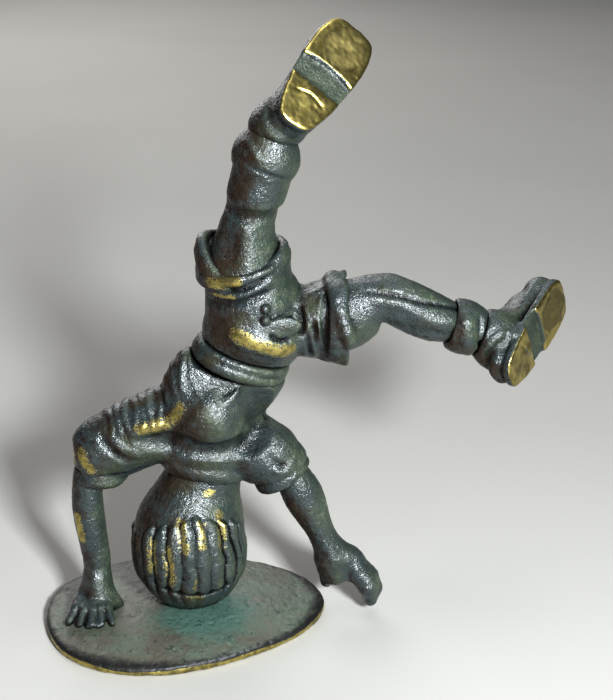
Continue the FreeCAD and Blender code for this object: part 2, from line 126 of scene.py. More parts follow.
def crossings(tree, x, y, bottom):
    """Heights at which an upright line through (x, y) meets the surface."""
    heights = []
    start = Vector((x + NUDGE, y + NUDGE * 0.6, bottom))
    up = Vector((0, 0, 1))
    while True:
        place = tree.ray_cast(start, up)[0]
        if place is None:
            return heights
        heights.append(place.z)
        start = Vector((start.x, start.y, place.z + SKIP))


def distances(tree, x, y, heights, step):
    """Distance to the surface at each height of a column, and how squarely the surface faces it."""
    column = np.empty(len(heights), np.float32)
    facing = np.empty(len(heights), np.float32)
    k = 0
    while k < len(heights):
        point = Vector((x, y, heights[k]))
        place, normal, _, gap = tree.find_nearest(point)
        square = (point - place).dot(normal) / max(gap, 1e-6)
        column[k], facing[k] = gap, square
        k += 1
        while k < len(heights) and gap - step > FAR:
            gap -= step
            column[k], facing[k] = gap, square
            k += 1
    return column, facing


def measure(tree, low, counts, step):
    """Signed distances to a closed surface on a regular grid."""
    gaps = np.empty(counts, np.float32)
    inside = np.empty(counts, bool)
    heights = low[2] + step * np.arange(counts[2])
    for i in range(counts[0]):
        for j in range(counts[1]):
            x, y = low[0] + i * step, low[1] + j * step
            column, facing = distances(tree, x, y, heights, step)
            odd = np.searchsorted(crossings(tree, x, y, low[2] - 1), heights) % 2 == 1
            sure = (np.abs(facing) > SQUARE) & (column < step)
            gaps[i, j], inside[i, j] = column, np.where(sure, facing < 0, odd)
    neighbours = sum(np.roll(inside, turn, axis).astype(int) for axis in range(3) for turn in (-1, 1))
    strayed = (gaps > step) & (np.where(inside, 6 - neighbours, neighbours) > 3)
    return np.where(inside ^ strayed, -gaps, gaps)


def refine(field, axis):
    """The field on a grid REFINE times finer along one axis, through a cubic spline."""
    fine = np.arange(REFINE * (field.shape[axis] - 3))
    base = fine // REFINE
    t = (fine % REFINE) / REFINE
    weights = ((1 - t) ** 3 / 6, (3 * t ** 3 - 6 * t ** 2 + 4) / 6,
               (-3 * t ** 3 + 3 * t ** 2 + 3 * t + 1) / 6, t ** 3 / 6)
    shape = [1, 1, 1]
    shape[axis] = len(fine)
    return sum(np.take(field, base + k, axis=axis) * weight.reshape(shape).astype(np.float32)
               for k, weight in enumerate(weights))


def blurred(field, passes):
    """The field after a soft blur along each axis."""
    for axis in range(3):
        size = field.shape[axis]
        for _ in range(passes):
            wide = np.pad(field, [(int(k == axis),) * 2 for k in range(3)], mode="edge")
            behind, ahead = (np.take(wide, range(k, size + k), axis=axis) for k in (0, 2))
            field = field * 0.5 + (ahead + behind) * 0.25
    return field


def smooth(value):
    """Eases a value between 0 and 1."""
    value = np.clip(value, 0, 1)
    return value * value * (3 - 2 * value)


def soft_union(a, b, blend):
    """Two fields joined, with a fillet of about the blend."""
    share = np.clip(0.5 + 0.5 * (b - a) / blend, 0, 1)
    return b + (a - b) * share - blend * share * (1 - share)


def curve(points, samples=12):
    """Smooth path through the points."""
    points = [np.asarray(p, float) for p in points]
    ends = [2 * points[0] - points[1]] + points + [2 * points[-1] - points[-2]]
    path = []
    for a, b, c, d in zip(ends, ends[1:], ends[2:], ends[3:]):
        for t in np.linspace(0, 1, samples, endpoint=False):
            path.append(0.5 * (2 * b + (c - a) * t + (2 * a - 5 * b + 4 * c - d) * t * t
                               + (3 * b - a - 3 * c + d) * t ** 3))
    path.append(points[-1])
    return np.array(path)


def lattice(cells, seed):
    """A repeatable value between -1 and 1 for each integer cell."""
    mixed = cells[..., 0] * 374761393 + cells[..., 1] * 668265263 + cells[..., 2] * 2147483647
    mixed = (mixed + seed * 144665) & 0xFFFFFFFF
    mixed = ((mixed ^ (mixed >> 13)) * 1274126177) & 0xFFFFFFFF
    return ((mixed ^ (mixed >> 16)) & 0xFFFF) / 32767.5 - 1


def lumps(points, size, seed):
    """Smooth random relief between -1 and 1, with lumps of about the size."""
    scaled = np.asarray(points) / size
    base = np.floor(scaled).astype(np.int64)
    t = smooth(scaled - base)
    total = 0
    for corner in np.ndindex(2, 2, 2):
        weight = np.prod(np.where(corner, t, 1 - t), axis=-1)
        total = total + weight * lattice(base + np.array(corner), seed)
    return total


class Clay:
    """One casting as a block of signed distances in millimetres, below zero inside the metal."""

    def __init__(self, node, cell, margin=MARGIN):
        self.node = node
        self.cell = cell
        self.tree, points = casting(node)
        self.box_low, self.box_high = points.min(0), points.max(0)
        self.middle = (self.box_low + self.box_high) / 2
        step = cell * REFINE
        low = self.box_low - margin - 2 * step
        counts = np.ceil((self.box_high + margin - low) / step).astype(int) + 3
        field = measure(self.tree, low, counts, step)
        for axis in range(3):
            field = refine(field, axis)
        self.field = field
        self.low = low + step
        self.spots = []

    # Places on the skin

    def cast(self, side, start):
        """Point of the skin met when looking from a side, in line with a point."""
        axis, sign = SIDES[side]
        start = np.array(start, float)
        middle = start.copy()
        start[axis] = self.box_high[axis] + 1 if sign > 0 else self.box_low[axis] - 1
        middle[axis] = self.middle[axis]
        heading = np.zeros(3)
        heading[axis] = -sign
        place = self.tree.ray_cast(Vector(start), Vector(heading))[0]
        return self.snap(middle) if place is None else np.array(place)

    def share(self, a, b, c):
        """Point at shares of the casting's own box."""
        return self.box_low + np.array((a, b, c)) * (self.box_high - self.box_low)

    def hit(self, side, a, b):
        """Point of the skin seen from a side, at shares a and b across its box."""
        shares = [a, b]
        shares.insert(SIDES[side][0], 0.5)
        return self.cast(side, self.share(*shares))

    def mark(self, side, centre, offsets):
        """Smooth path on the skin through places at offsets, in millimetres, seen from a side."""
        points = []
        for offset in offsets:
            step = list(offset)
            step.insert(SIDES[side][0], 0)
            points.append(self.cast(side, centre + np.array(step)))
        return self.along(points)

    def scribe(self, side, centre, offsets, width, height, sharp=False):
        """A stroke along a marked path."""
        self.stroke(self.mark(side, centre, offsets), width, height, sharp=sharp)

    def snap(self, point):
        """The nearest point of the skin."""
        return np.array(self.tree.find_nearest(Vector(point))[0])

    def trail(self, side, pairs):
        """Smooth path on the skin through places given as for hit."""
        return self.along([self.hit(side, a, b) for a, b in pairs])

    def line(self, side, pairs, width, height):
        """A stroke along a trail, with the pairs given as shares of the box."""
        self.stroke(self.trail(side, pairs), width, height)

    def along(self, points):
        """Smooth path through the points, laid on the skin."""
        return np.array([self.snap(p) for p in curve(points)])

    def hoop(self, centre, axis, start=0, end=360, reach=8.0, count=24):
        """Path round a limb, in the plane through centre square to axis. Turn 0 is the back."""
        axis = np.asarray(axis) / np.linalg.norm(axis)
        back = np.array([0.0, -1.0, 0.0])
        back -= axis * (back @ axis)
        back /= np.linalg.norm(back)
        side = np.cross(axis, back)
        path = []
        for turn in np.radians(np.linspace(start, end, count + 1)):
            away = back * math.cos(turn) + side * math.sin(turn)
            place = self.tree.ray_cast(Vector(centre + away * reach), Vector(-away))[0]
            path.append(np.array(place) if place else self.snap(centre + away))
        return np.array(path)

    # Working the metal

    def block(self, points, reach):
        """The part of the grid within reach of the points: its slices and its coordinates."""
        points = np.atleast_2d(points)
        low = np.floor((points.min(0) - reach - self.low) / self.cell).astype(int)
        high = np.ceil((points.max(0) + reach - self.low) / self.cell).astype(int) + 1
        low = np.clip(low, 0, np.array(self.field.shape) - 1)
        high = np.clip(high, low + 1, self.field.shape)
        axes = [self.low[k] + self.cell * np.arange(low[k], high[k]) for k in range(3)]
        grid = np.stack(np.meshgrid(*axes, indexing="ij"), axis=-1)
        return tuple(slice(a, b) for a, b in zip(low, high)), grid

    def stroke(self, path, width, height, taper=0.18, sharp=False):
        """Raises a ridge along a path, or cuts a groove where height is below zero."""
        cut, grid = self.block(path, width)
        lift = np.zeros(grid.shape[:-1])
        last = len(path) - 1
        for i, (a, b) in enumerate(zip(path, path[1:])):
            sub, near = self.block(np.array([a, b]), width)
            local = tuple(slice(s.start - c.start, s.stop - c.start) for s, c in zip(sub, cut))
            step = b - a
            t = np.clip(((near - a) @ step) / max(step @ step, 1e-9), 0, 1)
            gap = np.linalg.norm(near - a - t[..., None] * step, axis=-1) / width
            share = (i + t) / last
            ends = np.clip(np.minimum(share, 1 - share) / taper, 0, 1) if taper else 1
            profile = np.clip(1 - gap, 0, 1) if sharp else np.clip(1 - gap * gap, 0, 1) ** 2
            lift[local] = np.maximum(lift[local], profile * np.sqrt(ends))
        self.field[cut] -= (height * lift).astype(np.float32)

    def dab(self, place, radius, height):
        """A round swelling on the skin, or a dent where height is below zero."""
        cut, grid = self.block(place, radius)
        gap = np.linalg.norm(grid - place, axis=-1) / radius
        self.field[cut] -= (height * np.clip(1 - gap * gap, 0, 1) ** 2).astype(np.float32)

    def add_cone(self, start, end, start_radius, end_radius, blend):
        """Joins on a round bar that tapers between two radii."""
        start, end = np.asarray(start, float), np.asarray(end, float)
        reach = max(start_radius, end_radius) + blend
        cut, grid = self.block(np.array([start, end]), reach)
        step = end - start
        t = np.clip(((grid - start) @ step) / (step @ step), 0, 1)
        radius = start_radius + (end_radius - start_radius) * t
        gap = np.linalg.norm(grid - start - t[..., None] * step, axis=-1) - radius
        self.field[cut] = soft_union(self.field[cut], gap, blend).astype(np.float32)

    def plug(self, dowel):
        """Fills a dowel's blind hole, which no one sees, so that the thin wall round it stays whole."""
        low, high = dowel_ends(dowel)
        axis = low + (high - low) * np.linspace(0, 1, 60)[:, None]
        within = ((axis > self.box_low + DOWEL_ROOM) & (axis < self.box_high - DOWEL_ROOM)).all(1)
        self.add_cone(axis[within][0], axis[within][-1], DOWEL_ROOM, DOWEL_ROOM, 0.1)

    def add_lump(self, centre, radii, blend, sign=1):
        """Joins on an ellipsoid with its radii along the axes of the frame."""
        radii = np.asarray(radii, float)
        cut, grid = self.block(centre, radii.max() + blend)
        scaled = (grid - centre) / radii
        size = np.linalg.norm(scaled, axis=-1)
        slope = np.linalg.norm(scaled / radii, axis=-1)
        gap = size * (size - 1) / np.maximum(slope, 1e-6)
        self.field[cut] = sign * soft_union(sign * self.field[cut], gap, blend).astype(np.float32)

    def cut_lump(self, centre, radii, blend):
        """Cuts an ellipsoid away."""
        self.add_lump(centre, radii, blend, sign=-1)

    def touch(self, start, heading, reach=12.0):
        """The worked surface met on the way from a point outside the metal."""
        heading = np.asarray(heading) / np.linalg.norm(heading)
        steps = np.arange(0, reach, self.cell / 2)
        points = start + steps[:, None] * heading
        inside = np.flatnonzero(self.value(self.field, points) < 0)
        return points[inside[0]] if len(inside) else np.asarray(start, float)

    def melt(self, centre, radius, passes=14):
        """Softens the relief within a radius of a point."""
        cut, grid = self.block(centre, radius)
        gap = np.linalg.norm(grid - centre, axis=-1) / radius
        share = smooth(2 * (1 - gap))
        change = share * (blurred(self.field[cut], passes) - self.field[cut])
        self.field[cut] += change.astype(np.float32)

    def press(self, relief, reach=0.9):
        """Moves the skin outward by relief(points), in millimetres."""
        near = np.argwhere(np.abs(self.field) < reach)
        self.field[tuple(near.T)] -= relief(self.low + self.cell * near).astype(np.float32)

    def rub(self, path, radius, strength=1.0):
        """Marks skin near a path as worn through to bright metal."""
        self.spots.append((np.atleast_2d(path), radius, strength))

    def value(self, field, points):
        """The field's value at points inside the grid."""
        place = (points - self.low) / self.cell
        base = np.clip(np.floor(place).astype(int), 0, np.array(field.shape) - 2)
        t = place - base
        total = 0
        for corner in np.ndindex(2, 2, 2):
            weight = np.prod(np.where(corner, t, 1 - t), axis=1)
            i, j, k = (base + np.array(corner)).T
            total = total + weight * field[i, j, k]
        return total

    # Back to a mesh

    def surface(self):
        """Vertices and quads of the zero level, with one vertex in each cell that it crosses."""
        field = np.pad(self.field, 1, constant_values=self.cell)    # open space all round closes it
        inside = field < 0
        corners = sum(inside[a:a - 1 or None, b:b - 1 or None, c:c - 1 or None].astype(np.int8)
                      for a, b, c in np.ndindex(2, 2, 2))
        cells = np.argwhere((corners > 0) & (corners < 8))
        number = np.full(corners.shape, -1, np.int64)
        number[tuple(cells.T)] = np.arange(len(cells))
        total = np.zeros((len(cells), 3))
        count = np.zeros(len(cells))
        for axis in range(3):
            for corner in np.ndindex(2, 2, 2):
                if corner[axis]:
                    continue
                a = cells + np.array(corner)
                b = a.copy()
                b[:, axis] += 1
                low, high = field[tuple(a.T)], field[tuple(b.T)]
                crossed = (low < 0) != (high < 0)
                place = a[crossed].astype(float)
                place[:, axis] += low[crossed] / (low[crossed] - high[crossed])
                total[crossed] += place
                count[crossed] += 1
        vertices = self.low + self.cell * (total / count[:, None] - 1)
        return vertices, np.concatenate([self.quads(inside, number, axis) for axis in range(3)])

    @staticmethod
    def quads(inside, number, axis):
        """Quads round the grid edges along one axis that cross the surface."""
        first = np.take(inside, range(inside.shape[axis] - 1), axis=axis)
        second = np.take(inside, range(1, inside.shape[axis]), axis=axis)
        edges = np.argwhere(first != second)
        u, v = (axis + 1) % 3, (axis + 2) % 3
        rings = []
        for du, dv in ((-1, -1), (0, -1), (0, 0), (-1, 0)):
            cell = edges.copy()
            cell[:, u] += du
            cell[:, v] += dv
            rings.append(number[tuple(cell.T)])
        faces = np.stack(rings, axis=1)
        outward = first[tuple(edges.T)]
        faces[~outward] = faces[~outward][:, ::-1]
        return faces

    def finish(self, material, name, grain=1.0, green=0.0):
        """Makes the mesh object, with grain and the attributes that its material reads."""
        vertices, faces = self.surface()
        bend = self.value(blurred(self.field, 6), vertices) / self.cell
        normals = self.slopes(vertices)
        worn = self.wear(vertices)
        calm = grain * (1 - 0.55 * np.clip(worn, 0, 1))
        for seed, (size, height) in enumerate(zip(GRAIN_SIZES, GRAIN_HEIGHTS)):
            vertices = vertices + normals * (calm * height * lumps(vertices, size, seed))[:, None]
        mesh = bpy.data.meshes.new(name)
        mesh.vertices.add(len(vertices))
        mesh.vertices.foreach_set("co", (vertices * MM).astype(np.float32).ravel())
        mesh.loops.add(faces.size)
        mesh.loops.foreach_set("vertex_index", faces.astype(np.int32).ravel())
        mesh.polygons.add(len(faces))
        mesh.polygons.foreach_set("loop_start", np.arange(0, faces.size, 4, dtype=np.int32))
        mesh.update(calc_edges=True)
        mesh.shade_smooth()
        self.write(mesh, "ridge", np.clip(bend, 0, None))
        self.write(mesh, "hollow", np.clip(-bend, 0, None))
        self.write(mesh, "worn", worn)
        self.write(mesh, "green", np.full(len(vertices), green))
        mesh.materials.append(material)
        piece = bpy.data.objects.new(name, mesh)
        bpy.context.scene.collection.objects.link(piece)
        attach(piece, BODY)
        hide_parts(self.node)
        return piece

    def slopes(self, points):
        """Outward directions of the field at points."""
        reach = self.cell
        slope = np.empty((len(points), 3))
        for axis in range(3):
            shift = np.zeros(3)
            shift[axis] = reach
            slope[:, axis] = (self.value(self.field, points + shift)
                              - self.value(self.field, points - shift))
        return slope / np.maximum(np.linalg.norm(slope, axis=1), 1e-9)[:, None]

    def wear(self, points):
        """How far each point is rubbed bright, 0 to 1."""
        worn = np.zeros(len(points))
        for path, radius, strength in self.spots:
            gap = np.full(len(points), 1e9)
            for place in path:
                gap = np.minimum(gap, np.linalg.norm(points - place, axis=1))
            worn = np.maximum(worn, strength * np.exp(-(gap / radius) ** 2))
        return worn

    @staticmethod
    def write(mesh, name, values):
        """Stores one number for each vertex."""
        attribute = mesh.attributes.new(name, "FLOAT", "POINT")
        attribute.data.foreach_set("value", values.astype(np.float32))


def dowel_ends(node):
    """Both ends of a dowel's axis, the lower one first."""
    points = casting(node)[1]
    centre = points.mean(0)
    axis = np.linalg.svd(points - centre, full_matrices=False)[2][0]
    reach = np.abs((points - centre) @ axis).max()
    ends = [centre - axis * reach, centre + axis * reach]
    return sorted(ends, key=lambda end: end[2])


# ---- torso ----

def torso_folds(clay):
    """Fine folds that cross the shirt's right flank and the top of its sleeve."""
    first, pitch, count = 0.50, 0.034, 11
    for k in range(count):
        a = first - pitch * k
        lean = 0.012 * math.sin(2.1 * k)
        path = clay.trail("top", [(a - lean, 0.16), (a + lean, 0.42), (a - lean, 0.7), (a, 0.9)])
        clay.stroke(path, 0.62, 0.22 + 0.06 * math.sin(1.7 * k))


def torso_back(clay):
    """Drapery of the shirt's back, its yoke and its collar."""
    clay.dab(clay.hit("back", 0.57, 0.59), 4.5, 1.55)
    clay.dab(clay.hit("back", 0.6, 0.92), 5.6, -1.0)
    arm_ridge = clay.trail("back", [(0.25, 0.52), (0.33, 0.54), (0.41, 0.585), (0.45, 0.68)])
    clay.stroke(arm_ridge, 1.4, 0.5)
    clay.line("back", [(0.47, 0.56), (0.54, 0.66), (0.58, 0.75)], 1.6, 0.4)
    clay.line("back", [(0.6, 0.68), (0.66, 0.755), (0.7, 0.8)], 0.85, 0.42)
    clay.line("back", [(0.5, 0.87), (0.505, 0.82), (0.525, 0.77)], 0.55, 0.22)
    clay.line("back", [(0.3, 0.46), (0.42, 0.43), (0.54, 0.41), (0.67, 0.4), (0.76, 0.42)], 1.9, -1.15)
    clay.line("back", [(0.74, 0.8), (0.765, 0.66), (0.76, 0.52), (0.73, 0.42)], 2.4, -1.15)
    clay.line("back", [(0.5, 0.98), (0.61, 0.91), (0.74, 0.84), (0.86, 0.78)], 1.0, -0.45)
    collar = clay.trail("back", [(0.36, 0.3), (0.43, 0.24), (0.5, 0.215), (0.6, 0.19),
                                 (0.69, 0.15)])
    clay.stroke(collar, 1.0, 0.32)
    clay.rub(arm_ridge[6:], 0.95, 0.95)
    clay.rub(clay.trail("back", [(0.42, 0.62), (0.455, 0.69)]), 0.7, 0.75)


def torso_front(clay):
    """Plain shirt front: a placket from collar to waist, and folds drawn to the armpits."""
    placket = [(0.56, 0.06), (0.58, 0.35), (0.63, 0.65), (0.70, 0.90)]
    clay.stroke(clay.trail("front", placket), 0.9, 0.22)
    clay.line("front", [(a + 0.035, b) for a, b in placket], 0.35, -0.16)
    for drop in (0.0, 0.12, 0.24):
        clay.line("front", [(0.3, 0.5 + drop / 2), (0.42, 0.56 + drop), (0.54, 0.66 + drop)], 0.9, 0.28)
        clay.line("front", [(0.86, 0.4 + drop / 2), (0.78, 0.52 + drop), (0.72, 0.62 + drop)], 0.9, 0.26)


def sleeves(clay):
    """Crushed cloth at both elbows and a turned hem at each cuff."""
    clay.line("back", [(0.12, 0.47), (0.155, 0.4), (0.22, 0.31)], 0.8, -0.32)
    clay.line("back", [(0.17, 0.46), (0.21, 0.4), (0.28, 0.34)], 0.8, 0.22)
    clay.line("back", [(0.02, 0.435), (0.055, 0.43), (0.09, 0.44)], 0.45, -0.22)
    elbow = clay.trail("back", [(0.035, 0.36), (0.05, 0.29), (0.075, 0.24)])
    clay.rub(elbow, 0.75, 1.0)
    clay.rub(clay.trail("left", [(0.6, 0.22), (0.52, 0.32)]), 0.8, 0.9)
    for name, flare in (("right_elbow_dowel", 1.3), ("left_elbow_dowel", 1.0)):
        low, high = dowel_ends(name)
        axis = high - low
        hem = clay.hoop(low + axis * 0.52, axis, reach=6.0)
        clay.stroke(hem, 0.7, 0.16 * flare, taper=0)
        clay.stroke(clay.hoop(low + axis * 0.68, axis, reach=6.0), 0.5, -0.16, taper=0)
    clay.line("back", [(0.8, 0.34), (0.84, 0.27), (0.9, 0.24)], 0.8, -0.25)
    clay.line("back", [(0.83, 0.22), (0.87, 0.23), (0.91, 0.27)], 0.7, 0.2)


def make_torso(bronze):
    clay = Clay("torso", BODY_CELL)
    torso_folds(clay)
    torso_back(clay)
    torso_front(clay)
    sleeves(clay)
    return clay.finish(bronze, "shirt")


# ---- waistband and shorts ----

def make_waistband(bronze):
    """Soft roll of cloth that swells to meet the shirt below it."""
    clay = Clay("waistband", BODY_CELL)
    low, high = dowel_ends("waist_dowel")
    axis = (high - low) / np.linalg.norm(high - low)
    middle = clay.share(0.5, 0.46, 0.5)
    clay.stroke(clay.hoop(middle - axis * 1.0, axis), 1.1, 0.42, taper=0)
    clay.stroke(clay.hoop(middle + axis * 1.3, axis), 1.5, 0.36, taper=0)
    clay.line("back", [(0.14, 0.72), (0.39, 0.54), (0.69, 0.3), (0.9, 0.16)], 0.5, -0.22)
    return clay.finish(bronze, "waist_roll", green=0.2)


def make_shorts(bronze):
    clay = Clay("shorts", BODY_CELL, CUFF_MARGIN)
    seat = clay.trail("back", [(0.17, 0.47), (0.24, 0.42), (0.37, 0.355), (0.48, 0.3), (0.6, 0.29)])
    clay.stroke(seat, 1.7, 0.34)
    clay.rub(seat[9:44], 1.0, 1.0)
    right_hem(clay)
    pocket_flap(clay)
    left_folds(clay)
    shorts_front(clay)
    return clay.finish(bronze, "trousers")


def right_hem(clay):
    """Turned-up hem of the right trouser leg: a lip, a groove and a second ridge."""
    lip = clay.trail("back", [(0.04, 0.84), (0.09, 0.82), (0.17, 0.835), (0.26, 0.85), (0.4, 0.91),
                              (0.54, 0.965)])
    clay.stroke(lip, 0.7, 0.25)
    clay.line("back", [(0.04, 0.78), (0.12, 0.775), (0.25, 0.79), (0.38, 0.855), (0.54, 0.92)], 0.5, -0.36)
    ridge = clay.trail("back", [(0.04, 0.73), (0.14, 0.725), (0.25, 0.735), (0.39, 0.8), (0.54, 0.865)])
    clay.stroke(ridge, 0.6, 0.26)
    clay.line("back", [(0.05, 0.645), (0.18, 0.66), (0.34, 0.725), (0.46, 0.79)], 0.8, -0.3)
    hip, knee = dowel_ends("right_thigh_dowel")
    for top in curve([clay.share(*place) for place in CUFF_LIP], samples=5):
        foot = np.array([*top[:2], clay.share(0, 0, CUFF_FOOT)[2]])
        clay.add_cone(top, np.minimum(foot, top), 0.5, 0.62, 0.5)
        inner = top * 0.5 + (hip + (knee - hip) * 0.6) * 0.5
        shelf = max(top[2] - 1.0, foot[2])
        clay.add_cone(np.array([*top[:2], shelf]), np.array([*inner[:2], shelf - 0.2]), 0.7, 0.7, 0.5)
    clay.rub(lip[10:32] + np.array([0, 0, 0.1]), 0.85, 1.0)
    clay.rub(ridge[8:20], 0.4, 0.85)


def pocket_flap(clay):
    """Small raised flap beside the two buttons on the seat."""
    for height in BUTTON_HEIGHTS:
        button = clay.hit("back", 0.395, height)
        clay.add_lump(button, (0.55, 0.6, 0.55), 0.12)
    clay.add_lump(clay.hit("back", 0.515, 0.485), (1.9, 0.42, 1.1), 0.45)
    clay.line("back", [(0.43, 0.5), (0.5, 0.545), (0.59, 0.575)], 0.45, 0.25)
    clay.line("back", [(0.625, 0.6), (0.63, 0.5), (0.625, 0.4)], 0.55, -0.6)
    clay.line("back", [(0.42, 0.44), (0.46, 0.395), (0.54, 0.38)], 0.45, -0.25)


def left_folds(clay):
    """Folds crushed behind the thick lip of the left trouser leg."""
    clay.line("back", [(0.91, 0.8), (0.86, 0.7), (0.83, 0.56), (0.825, 0.4), (0.84, 0.16)], 1.4, 0.5)
    clay.line("back", [(0.9, 0.9), (0.84, 0.74), (0.775, 0.58), (0.765, 0.4), (0.78, 0.12)], 0.8, -0.75)
    clay.line("back", [(0.7, 0.5), (0.71, 0.38), (0.745, 0.22), (0.75, 0.12)], 0.6, -0.5)
    clay.line("back", [(0.66, 0.42), (0.67, 0.32), (0.69, 0.2)], 0.5, -0.36)
    clay.line("back", [(0.735, 0.5), (0.74, 0.38), (0.765, 0.24)], 0.5, 0.25)
    mouth = clay.share(0.93, 0.45, 0.45)
    lip = clay.hoop(mouth, LEFT_CUFF_AXIS, reach=9.0)
    lip += 0.35 * (mouth - lip) / np.linalg.norm(mouth - lip, axis=1)[:, None]
    for start, end in zip(lip, lip[1:]):
        clay.add_cone(start, end, 0.85, 0.85, 0.4)
    for corner in ((0.93, 0.345, 0.05), (0.90, 0.36, 0.87)):
        clay.melt(clay.share(*corner), 2.4, passes=30)
    for turn in (0.3, 0.5, 0.7):
        clay.line("top", [(0.66, turn), (0.76, turn + 0.04), (0.84, turn)], 0.8, 0.18)


def shorts_front(clay):
    """Fly seam and the pull of the cloth at each groin, on the side that faces away."""
    clay.line("front", [(0.34, 0.2), (0.42, 0.42), (0.5, 0.6)], 0.5, -0.25)
    for lift in (0.0, 0.12, 0.24):
        clay.line("front", [(0.48 + lift / 2, 0.5 - lift), (0.58 + lift / 2, 0.46 - lift),
                            (0.7, 0.44 - lift)], 0.9, 0.28)
        clay.line("front", [(0.14, 0.45 + lift), (0.26, 0.52 + lift), (0.4, 0.56 + lift)], 0.9, 0.24)


# ---- legs, socks and shoes ----

def make_right_leg(bronze):
    """Thigh that fills the trouser cuff, knee, and a calf that widens up to the sock."""
    clay = Clay("right_leg", BODY_CELL, THIGH_MARGIN)
    hip, knee = dowel_ends("right_thigh_dowel")
    shin, foot = dowel_ends("right_ankle_dowel")
    clay.add_cone(knee, hip + (knee - hip) * 0.5 + np.array([-0.5, 0, 0]), 2.9, 4.45, 1.2)
    clay.add_cone(knee + (shin - knee) * 0.75, shin + (foot - shin) * 0.36, 2.75, 3.35, 0.5)
    clay.line("back", [(0.05, 0.66), (0.3, 0.6), (0.6, 0.575), (0.95, 0.62)], 1.1, -0.5)
    clay.line("back", [(0.4, 0.52), (0.45, 0.34), (0.42, 0.2)], 1.8, 0.3)
    clay.line("back", [(0.22, 0.46), (0.23, 0.32), (0.18, 0.2)], 1.6, -0.22)
    clay.line("front", [(0.4, 0.56), (0.6, 0.58)], 1.6, 0.35)
    return clay.finish(bronze, "bare_right_leg")


def make_left_leg(bronze):
    """Thigh, bent knee and calf, with the shin's edge drawn along the upper side."""
    clay = Clay("left_leg", BODY_CELL)
    edge = clay.trail("back", [(0.26, 0.88), (0.47, 0.84), (0.63, 0.755), (0.8, 0.67), (0.93, 0.58)])
    clay.stroke(edge, 0.6, -0.3)
    clay.stroke(edge - np.array([0, 0, 0.9]), 1.0, 0.22)
    clay.line("back", [(0.6, 0.6), (0.74, 0.52), (0.88, 0.47)], 1.5, 0.38)
    clay.line("back", [(0.52, 0.42), (0.66, 0.36), (0.8, 0.34)], 0.9, -0.25)
    clay.line("top", [(0.3, 0.62), (0.42, 0.6), (0.52, 0.56)], 1.7, 0.3)
    return clay.finish(bronze, "bare_left_leg")


def make_right_sock(bronze):
    clay = Clay("right_sock", BODY_CELL)
    clay.line("back", [(0.03, 0.6), (0.1, 0.52), (0.29, 0.36), (0.55, 0.22), (0.8, 0.12)], 0.5, -0.24)
    clay.line("back", [(0.2, 0.82), (0.26, 0.66), (0.36, 0.5)], 0.7, 0.16)
    return clay.finish(bronze, "rolled_right_sock")


def make_left_sock(bronze):
    clay = Clay("left_sock", BODY_CELL)
    clay.line("back", [(0.42, 0.8), (0.38, 0.6), (0.4, 0.34)], 1.1, 0.3)
    clay.line("back", [(0.7, 0.8), (0.66, 0.5), (0.66, 0.16)], 0.55, -0.35)
    return clay.finish(bronze, "rolled_left_sock")


class Sole:
    """The flat under a shoe, found on the CAD mesh: its middle and its own three directions."""

    def __init__(self, node, ankle):
        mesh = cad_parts[node].data
        normals = np.array([face.normal for face in mesh.polygons])
        areas = np.array([face.area for face in mesh.polygons])
        centres = np.array([face.center for face in mesh.polygons]) / MM
        best = max(range(0, len(normals), 7),
                   key=lambda i: areas[(normals @ normals[i]) > 0.9995].sum())
        self.normal = normals[best]
        flat = (normals @ self.normal) > 0.999
        height = centres @ self.normal
        self.level = height[flat].max()
        flat &= height > self.level - 0.1
        corners = np.unique([v for i in np.flatnonzero(flat) for v in mesh.polygons[i].vertices])
        points = np.array([mesh.vertices[i].co for i in corners]) / MM
        self.middle = (points.max(0) + points.min(0)) / 2
        self.middle += self.normal * (self.level - self.middle @ self.normal)
        toe = np.linalg.svd(points - points.mean(0), full_matrices=False)[2][0]
        self.toe = toe * np.sign((self.middle - ankle) @ toe)
        self.side = np.cross(self.normal, self.toe)
        along = (points - self.middle) @ self.toe
        self.heel_end, self.toe_end = along.min(), along.max()

    def place(self, along, across, depth=0.0):
        """A point of the sole: along from heel 0 to toe 1, across in millimetres."""
        distance = self.heel_end + along * (self.toe_end - self.heel_end)
        return self.middle + self.toe * distance + self.side * across - self.normal * depth


def make_shoe(bronze, node, dowel, name, collar):
    """A laced shoe: padded collar, full upper, tongue and laces, worn heel and forefoot."""
    clay = Clay(node, HAND_CELL)
    ends = dowel_ends(dowel)
    sole = Sole(node, (ends[0] + ends[1]) / 2)
    ankle = max(ends, key=lambda end: -np.linalg.norm(end - sole.middle))
    fill_upper(clay, sole, ankle)
    clay.stroke(clay.trail("back", collar), 0.75, 0.34)
    lace_up(clay, sole)
    scratch = [sole.place(0.26, -2.0), sole.place(0.29, 0.0), sole.place(0.25, 1.8)]
    clay.stroke(curve(scratch), 0.28, -0.14, sharp=True)
    piece = clay.finish(bronze, name)
    mark_sole(piece, sole)
    return piece


def fill_upper(clay, sole, ankle):
    """Full instep and a broad toe cap over the sole."""
    instep, vamp = sole.place(0.46, 0, 3.6), sole.place(0.70, 0, 2.9)
    clay.add_cone(ankle, instep, 2.6, 2.6, 1.0)
    clay.add_cone(ankle, sole.place(0.3, 0, 2.6), 2.5, 2.2, 1.0)
    clay.add_cone(instep, vamp, 2.5, 2.3, 0.7)
    clay.add_cone(vamp, sole.place(0.86, 0, 2.2), 2.3, 1.9, 0.7)
    clay.add_cone(sole.place(0.85, -1.5, 2.1), sole.place(0.85, 1.5, 2.1), 1.7, 1.7, 0.6)


